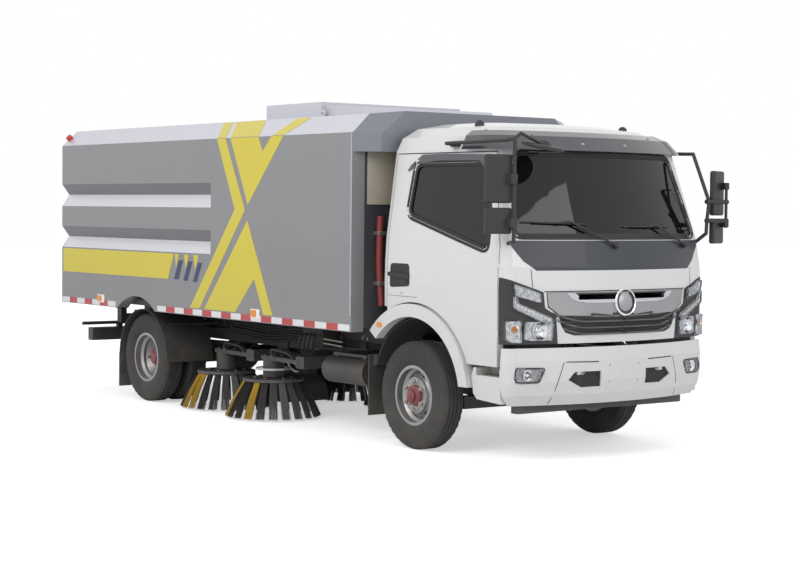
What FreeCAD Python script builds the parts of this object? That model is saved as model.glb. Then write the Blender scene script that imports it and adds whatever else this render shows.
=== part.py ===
import FreeCAD, Part
import math
import os

# A light street sweeper truck, in millimetres. +X points forward, +Y to the truck's left, +Z up.
# The origin is on the ground, in the middle of the truck's length and width.
# The cab tilts forward, its doors open, the box tips to the rear, its rear door swings up, and the
# road wheels, the steering, the disc brushes, their arms and the suction nozzle move.

V = FreeCAD.Vector
X_AXIS, Y_AXIS, Z_AXIS = V(1, 0, 0), V(0, 1, 0), V(0, 0, 1)
SIDES = (("right", -1), ("left", 1))

# Driving dimensions of the whole truck
MIRROR_REACH = 1210.0    # front axle to the foremost point of the round mirror
REAR_REACH = 5260.0      # front axle to the rear bar
FRONT_OVERHANG = 1170.0  # front axle to the bumper
WHEELBASE = 3800.0
GROUND = 0.0
FIT_GAP = 0.3            # between pieces that seat on each other
RUNNING = 0.05           # radial clearance of a shaft in its bore
MOVING_GAP = 7.0         # between panels that move past each other
AXLE_F = (REAR_REACH - MIRROR_REACH) / 2
AXLE_R = AXLE_F - WHEELBASE

# Tyres and rims
TYRE_R = 387.5
TYRE_W = 190.0
TYRE_SIDES = 48
BEAD_R = 203.0
BEAD_HALF = 70.0
FLANGE_R = 216.0
FLANGE_T = 7.0
RIM_T = 9.0
AXLE_Z = TYRE_R
FRONT_TYRE_Y = 865.0     # middle of a front tyre
REAR_OUTER_Y = 915.0     # middle of an outer rear tyre
DUAL_SPACING = 235.0
HAND_HOLES = 6
HAND_HOLE_R = 18.0
STUDS = 6
STUD_PCD = 205.0
STUD_R = 11.0

# Frame
RAIL_Y = 340.0           # inner face of a rail
RAIL_W = 65.0
RAIL_T = 8.0
RAIL_Z0, RAIL_Z1 = 545.0, 725.0
RAIL_FRONT = AXLE_F + 985.0
BOX_REAR = AXLE_F - REAR_REACH + 30.0
RAIL_REAR = BOX_REAR + 130.0
SUB_W = 60.0
SUB_T = 6.0
SUB_Z0 = RAIL_Z1
SUB_Z1 = 840.0
SUB_FRONT = AXLE_F - 640.0
SUB_REAR = BOX_REAR + 320.0

# Box
BOX_FRONT = AXLE_F - 550.0
BOX_Y = 1100.0
SIDE_T = 110.0
SKIRT_Z = 810.0
SIDE_Z1 = 2270.0
CHAMFER_Y = 950.0
ROOF_Z = 2411.0
ROOF_T = 45.0
FLOOR_Z0 = SUB_Z1 + FIT_GAP
FLOOR_T = 55.0
DOOR_T = 70.0
BOX_WALL_T = 40.0
GROOVE_FRONT = AXLE_F - 2540.0
GROOVES = ((1912.0, 1816.0, 1710.0), (1524.0, 1428.0, 1330.0))
GROOVE_DEEP = 72.0
ARCH_R = 540.0
TIP_X = BOX_REAR + 250.0
TIP_Z = 788.0
TIP_R = 38.0
TIP_PIN_R = 18.0
TIP_EAR_Y = 600.0
TIP_EAR_T = 60.0
TIP_SIDE_T = 22.0

# Cab
CAB_REAR = AXLE_F - 380.0
CAB_WALL = 40.0
PANEL_BOTTOM = 815.0
CAB_FLOOR_HI = 1010.0
CAB_FLOOR_LO = 820.0
CAB_FLOOR_T = 40.0
FOOTWELL_X = AXLE_F + 600.0
DOOR_X0 = AXLE_F - 305.0
DOOR_X1 = AXLE_F + 925.0
DOOR_Z0 = 660.0
DOOR_Z1 = 2108.0
DOOR_WALL = 55.0
BELT_Z = 1510.0
GLASS_T = 6.0
CAB_PIVOT_X = AXLE_F + 1050.0
CAB_PIVOT_Z = 925.0
FENDER_R0 = 562.0
FENDER_R1 = 655.0

# Cab outline at each height: z, half width, x of the front corners, x of the front middle,
# x of the rear wall, radius of the corners
CAB_SECTIONS = (
    (PANEL_BOTTOM, 950.0, 1015.0, 1150.0, -380.0, 95.0),
    (1190.0, 955.0, 1020.0, 1158.0, -380.0, 95.0),
    (1335.0, 952.0, 1010.0, 1148.0, -380.0, 95.0),
    (BELT_Z, 942.0, 985.0, 1118.0, -380.0, 100.0),
    (2130.0, 862.0, 805.0, 918.0, -372.0, 110.0),
    (2225.0, 822.0, 735.0, 842.0, -355.0, 125.0),
    (2295.0, 725.0, 600.0, 694.0, -300.0, 150.0),
    (2330.0, 560.0, 400.0, 470.0, -200.0, 170.0),
)


def box(x0, x1, y0, y1, z0, z1):
    """A block between two corners."""
    return Part.makeBox(x1 - x0, y1 - y0, z1 - z0, V(x0, y0, z0))


def prism(points, axis, low, high):
    """A polygon in the plane across an axis, drawn out from low to high.
    Its points are (X, Z), (Y, Z) or (X, Y)."""
    place = {
        "y": lambda a, b: V(a, low, b),
        "x": lambda a, b: V(low, a, b),
        "z": lambda a, b: V(a, b, low),
    }[axis]
    along = {"x": X_AXIS, "y": Y_AXIS, "z": Z_AXIS}[axis]
    corners = [place(a, b) for a, b in points]
    face = Part.Face(Part.makePolygon(corners + [corners[0]]))
    return face.extrude(along * (high - low))


def rod(start, end, radius):
    """A round bar between two points."""
    a, b = V(*start), V(*end)
    return Part.makeCylinder(radius, (b - a).Length, a, b - a)


def bent_rod(points, radius):
    """Round bars along a chain of points, with a ball at each bend."""
    shape = rod(points[0], points[1], radius)
    for a, b in zip(points[1:], points[2:]):
        shape = shape.fuse([Part.makeSphere(radius, V(*a)), rod(a, b, radius)])
    return shape


def ring(r0, r1, x, z, y0, y1):
    """A ring about an axis along Y."""
    outer = Part.makeCylinder(r1, y1 - y0, V(x, y0, z), Y_AXIS)
    return outer.cut(Part.makeCylinder(r0, y1 - y0, V(x, y0, z), Y_AXIS))


def disc(r, x, z, y0, y1):
    """A disc about an axis along Y."""
    return Part.makeCylinder(r, y1 - y0, V(x, y0, z), Y_AXIS)


def turned(profile, x, y, z):
    """A closed outline of (distance along Y, radius) turned about an axis along Y through a point."""
    corners = [V(x, y + a, z + r) for a, r in profile]
    face = Part.Face(Part.makePolygon(corners + [corners[0]]))
    solid = face.revolve(V(x, y, z), Y_AXIS, 360)
    if solid.Volume < 0:
        solid.reverse()
    return solid


def on_side(shape, side):
    """A piece drawn for the left side, or its mirror image for the right."""
    return shape if side > 0 else shape.mirror(V(0, 0, 0), Y_AXIS)


def both_sides(shape):
    """A piece drawn for the left side, with its mirror image."""
    return [shape, on_side(shape, -1)]


def solids_of(shapes):
    """The solids of one or several shapes, each cleaned of split faces."""
    found = []
    for shape in shapes if isinstance(shapes, (list, tuple)) else [shapes]:
        found += [s.removeSplitter() for s in shape.Solids]
    return found


def write(node, shapes):
    """Writes a node's solids to its STEP file."""
    solids = solids_of(shapes)
    shape = solids[0] if len(solids) == 1 else Part.makeCompound(solids)
    shape.exportStep(os.path.join("parts", node + ".step"))
    return shape


# Frame rails, cross members and the subframe that carries the box

def channel(y_web, z0, z1, x0, x1, width, wall, flange_side):
    """A C-section beam along X. Its web stands at y_web and its flanges point to flange_side."""
    y_out = y_web + flange_side * width
    low, high = min(y_web, y_out), max(y_web, y_out)
    solid = box(x0, x1, low, high, z0, z1)
    inner_low = low + wall if flange_side > 0 else low - 1
    inner_high = high + 1 if flange_side > 0 else high - wall
    return solid.cut(box(x0 - 1, x1 + 1, inner_low, inner_high, z0 + wall, z1 - wall))


CROSS_X = tuple(AXLE_F + x for x in (865.0, -480.0, -1330.0, -2395.0, -3900.0, -4420.0, -5040.0))
CYL_CROSS = 3            # the cross member that carries the tipping cylinder
CROSS_W = 70.0
CROSS_Z0, CROSS_Z1 = 600.0, 700.0
WEB_Y = RAIL_Y + RAIL_W  # outer face of a rail


def frame():
    rail = channel(WEB_Y, RAIL_Z0, RAIL_Z1, RAIL_REAR, RAIL_FRONT, RAIL_W, RAIL_T, -1)
    write("frame_rails", both_sides(rail))
    reach = WEB_Y - RAIL_T
    cross = [box(x - CROSS_W / 2, x + CROSS_W / 2, -reach, reach, CROSS_Z0, CROSS_Z1) for x in CROSS_X]
    beam = box(SUB_REAR, SUB_FRONT, RAIL_Y, RAIL_Y + SUB_W, SUB_Z0, SUB_Z1)
    core = box(SUB_REAR + SUB_T, SUB_FRONT - SUB_T, RAIL_Y + SUB_T, RAIL_Y + SUB_W - SUB_T,
               SUB_Z0 + SUB_T, SUB_Z1 - SUB_T)
    write("subframe", both_sides(beam.cut(core)))
    return cross


# Engine, gearbox and propeller shaft

ENGINE = (AXLE_F - 430, AXLE_F + 330, 290.0, 430.0, 960.0)
GEARBOX_X = AXLE_F - 1290.0
GEARBOX_Y = 175.0
GEARBOX_Z0, GEARBOX_Z1 = 400.0, 590.0
SHAFT_R = 42.0
SHAFT_Z_FRONT = 490.0
DIFF_R = 165.0


def drive_line():
    """The engine as one plain block with its gearbox. Returns the propeller shaft."""
    x0, x1, y, z0, z1 = ENGINE
    block = box(x0, x1, -y, y, z0, z1)
    gearbox = box(GEARBOX_X, x0, -GEARBOX_Y, GEARBOX_Y, GEARBOX_Z0, GEARBOX_Z1)
    write("engine", block.fuse(gearbox))
    flange = Part.makeCylinder(SHAFT_R + 16, 16, V(GEARBOX_X - FIT_GAP - 16, 0, SHAFT_Z_FRONT), X_AXIS)
    start = (GEARBOX_X - FIT_GAP - 10, 0, SHAFT_Z_FRONT)
    end = (AXLE_R + DIFF_R + 40, 0, AXLE_Z + 20)
    return flange.fuse(rod(start, end, SHAFT_R))


# Front axle with steered knuckles, rear axle, springs

KINGPIN_Y = 700.0
KINGPIN_R = 18.0
BEAM_EYE_R = 42.0
BEAM_Z0, BEAM_Z1 = AXLE_Z - 45, AXLE_Z + 45
BEAM_DROP = 75.0
YOKE_T = 28.0
STUB_R = 27.0
STUB_END = FRONT_TYRE_Y + 20
STEER_ARM = 150.0
YOKE_GAP = 2.0
TIE_ROD_Z = BEAM_Z0 - YOKE_T - 30
TIE_ROD_R = 14.0
REAR_TUBE_R = 68.0
REAR_TUBE_Y = REAR_OUTER_Y - DUAL_SPACING - TYRE_W / 2 - 45
SPINDLE_R = 36.0
SPINDLE_END = REAR_OUTER_Y - 60
SPRING_Y = RAIL_Y + 32.0
SPRING_W = 70.0


def front_axle():
    half = 48.0
    centre = box(AXLE_F - half, AXLE_F + half, -KINGPIN_Y + 190, KINGPIN_Y - 190,
                 BEAM_Z0 - BEAM_DROP, BEAM_Z1 - BEAM_DROP)
    profile = [(KINGPIN_Y - 190, BEAM_Z0 - BEAM_DROP), (KINGPIN_Y - 60, BEAM_Z0), (KINGPIN_Y, BEAM_Z0),
               (KINGPIN_Y, BEAM_Z1),
               (KINGPIN_Y - 60, BEAM_Z1), (KINGPIN_Y - 190, BEAM_Z1 - BEAM_DROP)]
    end = prism(profile, "x", AXLE_F - half * 0.7, AXLE_F + half * 0.7)
    eye = Part.makeCylinder(BEAM_EYE_R, BEAM_Z1 - BEAM_Z0, V(AXLE_F, KINGPIN_Y, BEAM_Z0))
    bore = Part.makeCylinder(KINGPIN_R + RUNNING, 400, V(AXLE_F, KINGPIN_Y, BEAM_Z0 - 150))
    stub = end.fuse(eye).cut(bore)
    write("front_axle", centre.fuse(both_sides(stub)))


def knuckle(name, side):
    """Yoke, kingpin, stub axle and steering arm of one front wheel."""
    gap = YOKE_GAP
    upper = Part.makeCylinder(BEAM_EYE_R, YOKE_T, V(AXLE_F, KINGPIN_Y, BEAM_Z1 + gap))
    lower = Part.makeCylinder(BEAM_EYE_R, YOKE_T, V(AXLE_F, KINGPIN_Y, BEAM_Z0 - gap - YOKE_T))
    pin = Part.makeCylinder(KINGPIN_R, BEAM_Z1 - BEAM_Z0 + 2 * (gap + YOKE_T),
                            V(AXLE_F, KINGPIN_Y, BEAM_Z0 - gap - YOKE_T))
    web_y = KINGPIN_Y + BEAM_EYE_R + 4
    web = box(AXLE_F - 40, AXLE_F + 40, web_y, web_y + 24, BEAM_Z0 - gap - YOKE_T, BEAM_Z1 + gap + YOKE_T)
    plates = [box(AXLE_F - 34, AXLE_F + 34, KINGPIN_Y, web_y, z, z + YOKE_T)
              for z in (BEAM_Z1 + gap, BEAM_Z0 - gap - YOKE_T)]
    stub = rod((AXLE_F, web_y, AXLE_Z), (AXLE_F, STUB_END, AXLE_Z), STUB_R)
    arm_z = BEAM_Z0 - gap - YOKE_T
    arm = prism([(AXLE_F + 10, KINGPIN_Y - 26), (AXLE_F + 10, KINGPIN_Y + 26),
                 (AXLE_F - STEER_ARM, KINGPIN_Y - 20), (AXLE_F - STEER_ARM, KINGPIN_Y - 60)],
                "z", arm_z, arm_z + 18)
    shape = upper.fuse([lower, pin, web, stub, arm] + plates)
    write(name, on_side(shape, side))


def tie_rod():
    """The bar that joins the two steering arms, a little below them."""
    end_y = KINGPIN_Y - 40
    x = AXLE_F - STEER_ARM + 20
    bar = rod((x, -end_y, TIE_ROD_Z), (x, end_y, TIE_ROD_Z), TIE_ROD_R)
    top = BEAM_Z0 - YOKE_GAP - YOKE_T - FIT_GAP
    caps = [Part.makeCylinder(20, top - TIE_ROD_Z + 18, V(x, y, TIE_ROD_Z - 18)) for y in (-end_y, end_y)]
    write("tie_rod", bar.fuse(caps))


def rear_axle(shaft):
    tube = rod((AXLE_R, -REAR_TUBE_Y, AXLE_Z), (AXLE_R, REAR_TUBE_Y, AXLE_Z), REAR_TUBE_R)
    spindle = rod((AXLE_R, -SPINDLE_END, AXLE_Z), (AXLE_R, SPINDLE_END, AXLE_Z), SPINDLE_R)
    bowl = Part.makeSphere(DIFF_R, V(AXLE_R, 0, AXLE_Z))
    nose = rod((AXLE_R, 0, AXLE_Z + 10), (AXLE_R + DIFF_R + 40, 0, AXLE_Z + 20), 70)
    write("rear_axle", tube.fuse([spindle, bowl, nose, shaft]))


def leaf_spring(x_middle, z_seat, length, leaves, rise):
    """A pack of leaves under a rail: each leaf is shorter than the one above."""
    leaf_t = 11.0
    shape = None
    for i in range(leaves):
        half = length / 2 * (1 - 0.62 * i / leaves)
        z = z_seat + leaf_t * (leaves - 1 - i)
        lift = rise * (half / (length / 2)) ** 2
        outline = [(x_middle - half, z + lift), (x_middle, z), (x_middle + half, z + lift),
                   (x_middle + half, z + lift + leaf_t), (x_middle, z + leaf_t),
                   (x_middle - half, z + lift + leaf_t)]
        leaf = prism(outline, "y", SPRING_Y - SPRING_W / 2, SPRING_Y + SPRING_W / 2)
        shape = leaf if shape is None else shape.fuse(leaf)
    return shape


def springs():
    front = leaf_spring(AXLE_F, BEAM_Z1 - BEAM_DROP, 1150, 7, 60)
    rear = leaf_spring(AXLE_R, AXLE_Z + REAR_TUBE_R, 1200, 6, 12)
    def hangers(x_axle, reach, drop):
        return [box(x - 22, x + 22, SPRING_Y - 12, SPRING_Y + 12, RAIL_Z0 - drop, RAIL_Z0)
                for x in (x_axle - reach, x_axle + reach)]
    front = front.fuse(hangers(AXLE_F, 560, 70))
    rear = rear.fuse(hangers(AXLE_R, 575, 16))
    write("leaf_springs", both_sides(front) + both_sides(rear))


# Wheels

def faceted(profile, x, y, z, sides):
    """A closed outline of (distance along Y, radius) turned about Y in flat sides, one of them level at the
    bottom. A radius is that of the flats' middles."""
    stretch = 1 / math.cos(math.pi / sides)
    rings = []
    for i in range(sides):
        a = 2 * math.pi * (i + 0.5) / sides - math.pi / 2
        across, up = stretch * math.cos(a), stretch * math.sin(a)
        rings.append([V(x + r * across, y + along, z + r * up) for along, r in profile])
    faces = []
    for near, far in zip(rings, rings[1:] + rings[:1]):
        for j in range(len(profile)):
            k = (j + 1) % len(profile)
            faces.append(Part.Face(Part.makePolygon([near[j], near[k], far[k], far[j], near[j]])))
    solid = Part.Solid(Part.makeShell(faces))
    if solid.Volume < 0:
        solid.reverse()
    return solid


def tyre(x, y):
    """A tyre about the wheel's axis, sitting between the rim's flanges."""
    half, bead = TYRE_W / 2, BEAD_HALF
    profile = [(-bead, BEAD_R), (bead, BEAD_R), (bead, FLANGE_R + 4), (half, 300), (half - 14, TYRE_R - 18),
               (half - 40, TYRE_R), (40 - half, TYRE_R), (14 - half, TYRE_R - 18), (-half, 300),
               (-bead, FLANGE_R + 4)]
    return faceted(profile, x, y, AXLE_Z, TYRE_SIDES)


def rim_barrel(x, y):
    """The steel rim: a well between two flanges."""
    bead, seat = BEAD_HALF + FIT_GAP, BEAD_R - FIT_GAP
    profile = [(-bead - FLANGE_T, FLANGE_R), (-bead, FLANGE_R), (-bead, seat), (-bead + 40, seat),
               (-bead + 58, seat - 22), (bead - 58, seat - 22), (bead - 40, seat), (bead, seat),
               (bead, FLANGE_R),
               (bead + FLANGE_T, FLANGE_R), (bead + FLANGE_T, seat - RIM_T), (bead - 44, seat - RIM_T),
               (bead - 62, seat - 22 - RIM_T), (-bead + 62, seat - 22 - RIM_T), (-bead + 44, seat - RIM_T),
               (-bead - FLANGE_T, seat - RIM_T)]
    return turned(profile, x, y, AXLE_Z)


def wheel_disc(x, y, face, hub_r):
    """The dished disc between barrel and hub. face is how far its bolting face stands outboard of y."""
    root_r = BEAD_R - 22 - RIM_T + 2
    profile = [(face - 70, root_r), (face - 56, root_r), (face - 10, 135), (face + 6, 128),
               (face + 6, hub_r),
               (face - 6, hub_r), (face - 6, 124), (face - 22, 130)]
    shape = turned(profile, x, y, AXLE_Z)
    for i in range(HAND_HOLES):
        a = math.radians(360.0 * i / HAND_HOLES + 6)
        cx, cz = x + 155 * math.cos(a), AXLE_Z + 155 * math.sin(a)
        shape = shape.cut(disc(HAND_HOLE_R, cx, cz, y + face - 90, y + face + 30))
    return shape


def stud_ring(x, y0, y1):
    """The wheel nuts on their circle."""
    found = []
    for i in range(STUDS):
        a = math.radians(360.0 * i / STUDS + 30)
        across, up = STUD_PCD / 2 * math.cos(a), STUD_PCD / 2 * math.sin(a)
        found.append(disc(STUD_R, x + across, AXLE_Z + up, y0, y1))
    return found


HUB_R = 72.0


def front_wheel(name, side):
    y = FRONT_TYRE_Y
    write("tyre_" + name, on_side(tyre(AXLE_F, y), side))
    face = 52.0
    middle = wheel_disc(AXLE_F, y, face, HUB_R - 2)
    shape = rim_barrel(AXLE_F, y).fuse([middle] + stud_ring(AXLE_F, y + face, y + face + 28))
    hub = disc(HUB_R, AXLE_F, AXLE_Z, y - 45, y + face + 22)
    cap = disc(34, AXLE_F, AXLE_Z, y + face + 22, y + face + 46)
    drum = ring(HUB_R - 4, 158, AXLE_F, AXLE_Z, y - 45, y - 33)
    bore = disc(STUB_R + RUNNING, AXLE_F, AXLE_Z, y - 46, STUB_END + 3)
    write("rim_" + name, on_side(shape.fuse([hub, cap, drum]).cut(bore), side))


def rear_wheel(name, side):
    outer, inner = REAR_OUTER_Y, REAR_OUTER_Y - DUAL_SPACING
    write("tyres_" + name, [on_side(tyre(AXLE_R, y), side) for y in (outer, inner)])
    middle = (outer + inner) / 2
    root = BEAD_R - 7
    right_side = [(middle, HUB_R - 2), (middle + 12, HUB_R - 2), (middle + 12, 146), (outer - 20, root),
                  (outer - 34, root),
                  (middle, 154)]
    left_side = [(2 * middle - y, r) for y, r in reversed(right_side)]
    web = turned(right_side, AXLE_R, 0, AXLE_Z).fuse(turned(left_side, AXLE_R, 0, AXLE_Z))
    for i in range(HAND_HOLES):
        a = math.radians(360.0 * i / HAND_HOLES + 6)
        cx, cz = AXLE_R + 169 * math.cos(a), AXLE_Z + 169 * math.sin(a)
        web = web.cut(disc(HAND_HOLE_R - 4, cx, cz, middle - 80, middle + 80))
    hub = disc(HUB_R, AXLE_R, AXLE_Z, inner - 60, SPINDLE_END + 40)
    cap = disc(46, AXLE_R, AXLE_Z, SPINDLE_END + 40, SPINDLE_END + 58)
    drum = ring(HUB_R - 4, 160, AXLE_R, AXLE_Z, inner - 60, inner - 48)
    bore = disc(SPINDLE_R + RUNNING, AXLE_R, AXLE_Z, inner - 61, SPINDLE_END + 3)
    nuts = stud_ring(AXLE_R, middle + 11, middle + 40)
    wheels = web.fuse([rim_barrel(AXLE_R, outer), rim_barrel(AXLE_R, inner), hub, cap, drum] + nuts)
    write("rims_" + name, on_side(wheels.cut(bore), side))


# Cab

def cab_wire(section, inset):
    """One level outline of the cab, moved inward by inset."""
    z, half, corner, middle, rear, radius = section
    half, rear = half - inset, AXLE_F + rear + inset
    corner, middle = AXLE_F + corner - inset, AXLE_F + middle - inset
    r = max(radius - inset, 12.0)
    k = r * (1 - math.sqrt(0.5))
    rr = max(60.0 - inset, 10.0)
    kr = rr * (1 - math.sqrt(0.5))
    p = [V(rear + rr, half, z), V(corner - r, half, z), V(corner, half - r, z), V(corner, r - half, z),
         V(corner - r, -half, z), V(rear + rr, -half, z), V(rear, rr - half, z), V(rear, half - rr, z)]
    edges = [
        Part.LineSegment(p[0], p[1]),
        Part.Arc(p[1], V(corner - k, half - k, z), p[2]),
        Part.Arc(p[2], V(middle, 0, z), p[3]),
        Part.Arc(p[3], V(corner - k, k - half, z), p[4]),
        Part.LineSegment(p[4], p[5]),
        Part.Arc(p[5], V(rear + kr, kr - half, z), p[6]),
        Part.LineSegment(p[6], p[7]),
        Part.Arc(p[7], V(rear + kr, half - kr, z), p[0]),
    ]
    return Part.Wire([e.toShape() for e in edges])


def cab_hull(inset, top_inset=0.0, bottom=PANEL_BOTTOM):
    """The cab's outer form, or a smaller one inside it, down to a given height."""
    sections = [list(s) for s in CAB_SECTIONS]
    sections[0][0] = bottom
    sections[-1][0] -= top_inset
    wires = [cab_wire(s, inset) for s in sections]
    return Part.makeLoft(wires, True, True)


def door_outline(grow):
    """The side outline of a door, larger by grow on every side: straight edges, and the wheel arch below."""
    r = FENDER_R1 + 10 - grow
    x0, x1, z0, z1 = DOOR_X0 - grow, DOOR_X1 + grow, DOOR_Z0 - grow, DOOR_Z1 + grow
    a_top = (AXLE_F + 768 + grow, z1)
    a_low = (x1, 1478 + grow)
    points = [(x0, z1), (x0, 800.0), (x0 + 10, z0), (x1, z0), a_low, a_top]
    outline = prism(points, "y", -1, 1201)
    return outline.cut(Part.makeCylinder(r, 1300, V(AXLE_F, -40, AXLE_Z), Y_AXIS))


WINDOW = ((-118.0, 1672.0), (-78.0, 2040.0), (672.0, 2040.0), (806.0, 1700.0), (812.0, 1432.0))
WINDSHIELD = ((862.0, 1530.0), (735.0, 2112.0))
REAR_WINDOW = (520.0, 1560.0, 1980.0)


def window_prism(shrink):
    """The side window's outline, smaller by shrink."""
    xs = [p[0] for p in WINDOW]
    zs = [p[1] for p in WINDOW]
    cx, cz = (min(xs) + max(xs)) / 2, (min(zs) + max(zs)) / 2
    wide, high = (max(xs) - min(xs)) / 2, (max(zs) - min(zs)) / 2
    points = [(AXLE_F + cx + (x - cx) * (1 - shrink / wide), cz + (z - cz) * (1 - shrink / high))
              for x, z in WINDOW]
    shape = prism(points, "y", 600, 1100)
    uprights = [e for e in shape.Edges if abs(e.Vertexes[0].Point.y - e.Vertexes[-1].Point.y) > 100]
    return shape.makeFillet(55.0, uprights)


def windshield_prism(shrink):
    (y0, z0), (y1, z1) = WINDSHIELD
    points = [(-y0 + shrink, z0 + shrink), (y0 - shrink, z0 + shrink), (y1 - shrink, z1 - shrink),
              (-y1 + shrink, z1 - shrink)]
    shape = prism(points, "x", AXLE_F + 600, AXLE_F + 1300)
    along = [e for e in shape.Edges if abs(e.Vertexes[0].Point.x - e.Vertexes[-1].Point.x) > 100]
    return shape.makeFillet(60.0, along)


COWL_TOP = 1511.0
COWL = ((885.0, COWL_TOP), (885.0, 1472.0), (807.0, 1372.0), (720.0, 1310.0))
GRILLE = ((652.0, 1162.0), (638.0, 1062.0), (552.0, 1004.0), (536.0, 940.0), (500.0, 890.0), (430.0, 868.0))
LAMP = ((672.0, 1165.0), (658.0, 1059.0), (573.0, 1007.0), (556.0, PANEL_BOTTOM), (1100.0, PANEL_BOTTOM),
        (1100.0, 1317.0), (953.0, 1265.0))
GRILLE_BARS = ((868.0, 14.0), (914.0, 10.0), (956.0, 10.0), (1000.0, 162.0))  # foot and height of each
FRONT_CUT_X = DOOR_X1 + MOVING_GAP + 4


def front_region(half, grow, x0):
    """A region of the cab's front, larger by grow all round.
    It is half an outline in (Y, Z) with its mirror image."""
    top = max(z for _, z in half)
    grown = [(y + grow, z + grow if z == top else z - grow) for y, z in half]
    return prism(grown + [(-y, z) for y, z in reversed(grown)], "x", x0, AXLE_F + 1300)


def cowl_region(grow):
    return front_region(COWL, grow, FRONT_CUT_X - 40)


def grille_region(grow):
    return front_region(GRILLE, grow, AXLE_F + 900)


def lamp_region(side, grow):
    """A lamp's region, larger by grow on its inner side and top, mirrored for the right."""
    points = [(y - grow, z) if y < 700 else (y, z + (grow if z > 1200 else 0)) for y, z in LAMP]
    return on_side(prism(points, "x", FRONT_CUT_X - grow, AXLE_F + 1300), side)


THIN_WALL = 12.0         # of the front wall's foot, which swings past the pivot brackets
PIVOT_EAR_T = 18.0
PIVOT_EAR_R = 18.0
PIVOT_PIN_R = 10.0
DOOR_HINGES = (860.0, 1330.0)
HINGE_LEN = 50.0
HINGE_R = 8.0
HINGE_PIN = 3.5
DOOR_AXIS = (DOOR_X1 + 3, 952.0)


def hinge_rod(radius, z0, z1):
    """A round bar on the left door's hinge axis."""
    return Part.makeCylinder(radius, z1 - z0, V(*DOOR_AXIS, z0))


def cab_pivots():
    """The brackets at the front of the rails, with the pins that the cab tilts on.
    Their slope keeps them out of the way of the cab's front wall, which swings down under the pins."""
    x, z = CAB_PIVOT_X, CAB_PIVOT_Z
    profile = [(RAIL_FRONT - 90, RAIL_Z1 - 4), (RAIL_FRONT - 18, RAIL_Z1 - 4), (x - 8, z - 18), (x, z),
               (x - 18, z),
               (x - 70, z - 80), (x - 76, z - 106), (RAIL_FRONT - 35, RAIL_Z1 + 40),
               (RAIL_FRONT - 90, RAIL_Z1 + 30)]
    plate = prism(profile, "y", RAIL_Y, WEB_Y)
    boss = disc(PIVOT_EAR_R, x, z, RAIL_Y, WEB_Y)
    pin = disc(PIVOT_PIN_R, x, z, RAIL_Y - PIVOT_EAR_T - 4, WEB_Y + PIVOT_EAR_T + 4)
    rail = box(RAIL_FRONT - 300, RAIL_FRONT + 1, RAIL_Y - 1, WEB_Y + 1, RAIL_Z0, RAIL_Z1)
    return both_sides(plate.fuse([boss, pin]).cut(rail))


def pivot_ear(y):
    """A plate on the cab's floor with the bore of a tilting pin."""
    x, z, far = CAB_PIVOT_X, CAB_PIVOT_Z, y + PIVOT_EAR_T
    top = CAB_FLOOR_LO + CAB_FLOOR_T - 5
    plate = prism([(x - 150, top), (x - 51, top), (x + 13, z - 13), (x - 13, z + 13),
                   (x - 150, top + 45)], "y", y, far)
    plate = plate.fuse(disc(PIVOT_EAR_R, x, z, y, far))
    return plate.cut(disc(PIVOT_PIN_R + RUNNING, x, z, y - 1, far + 1))


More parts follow.
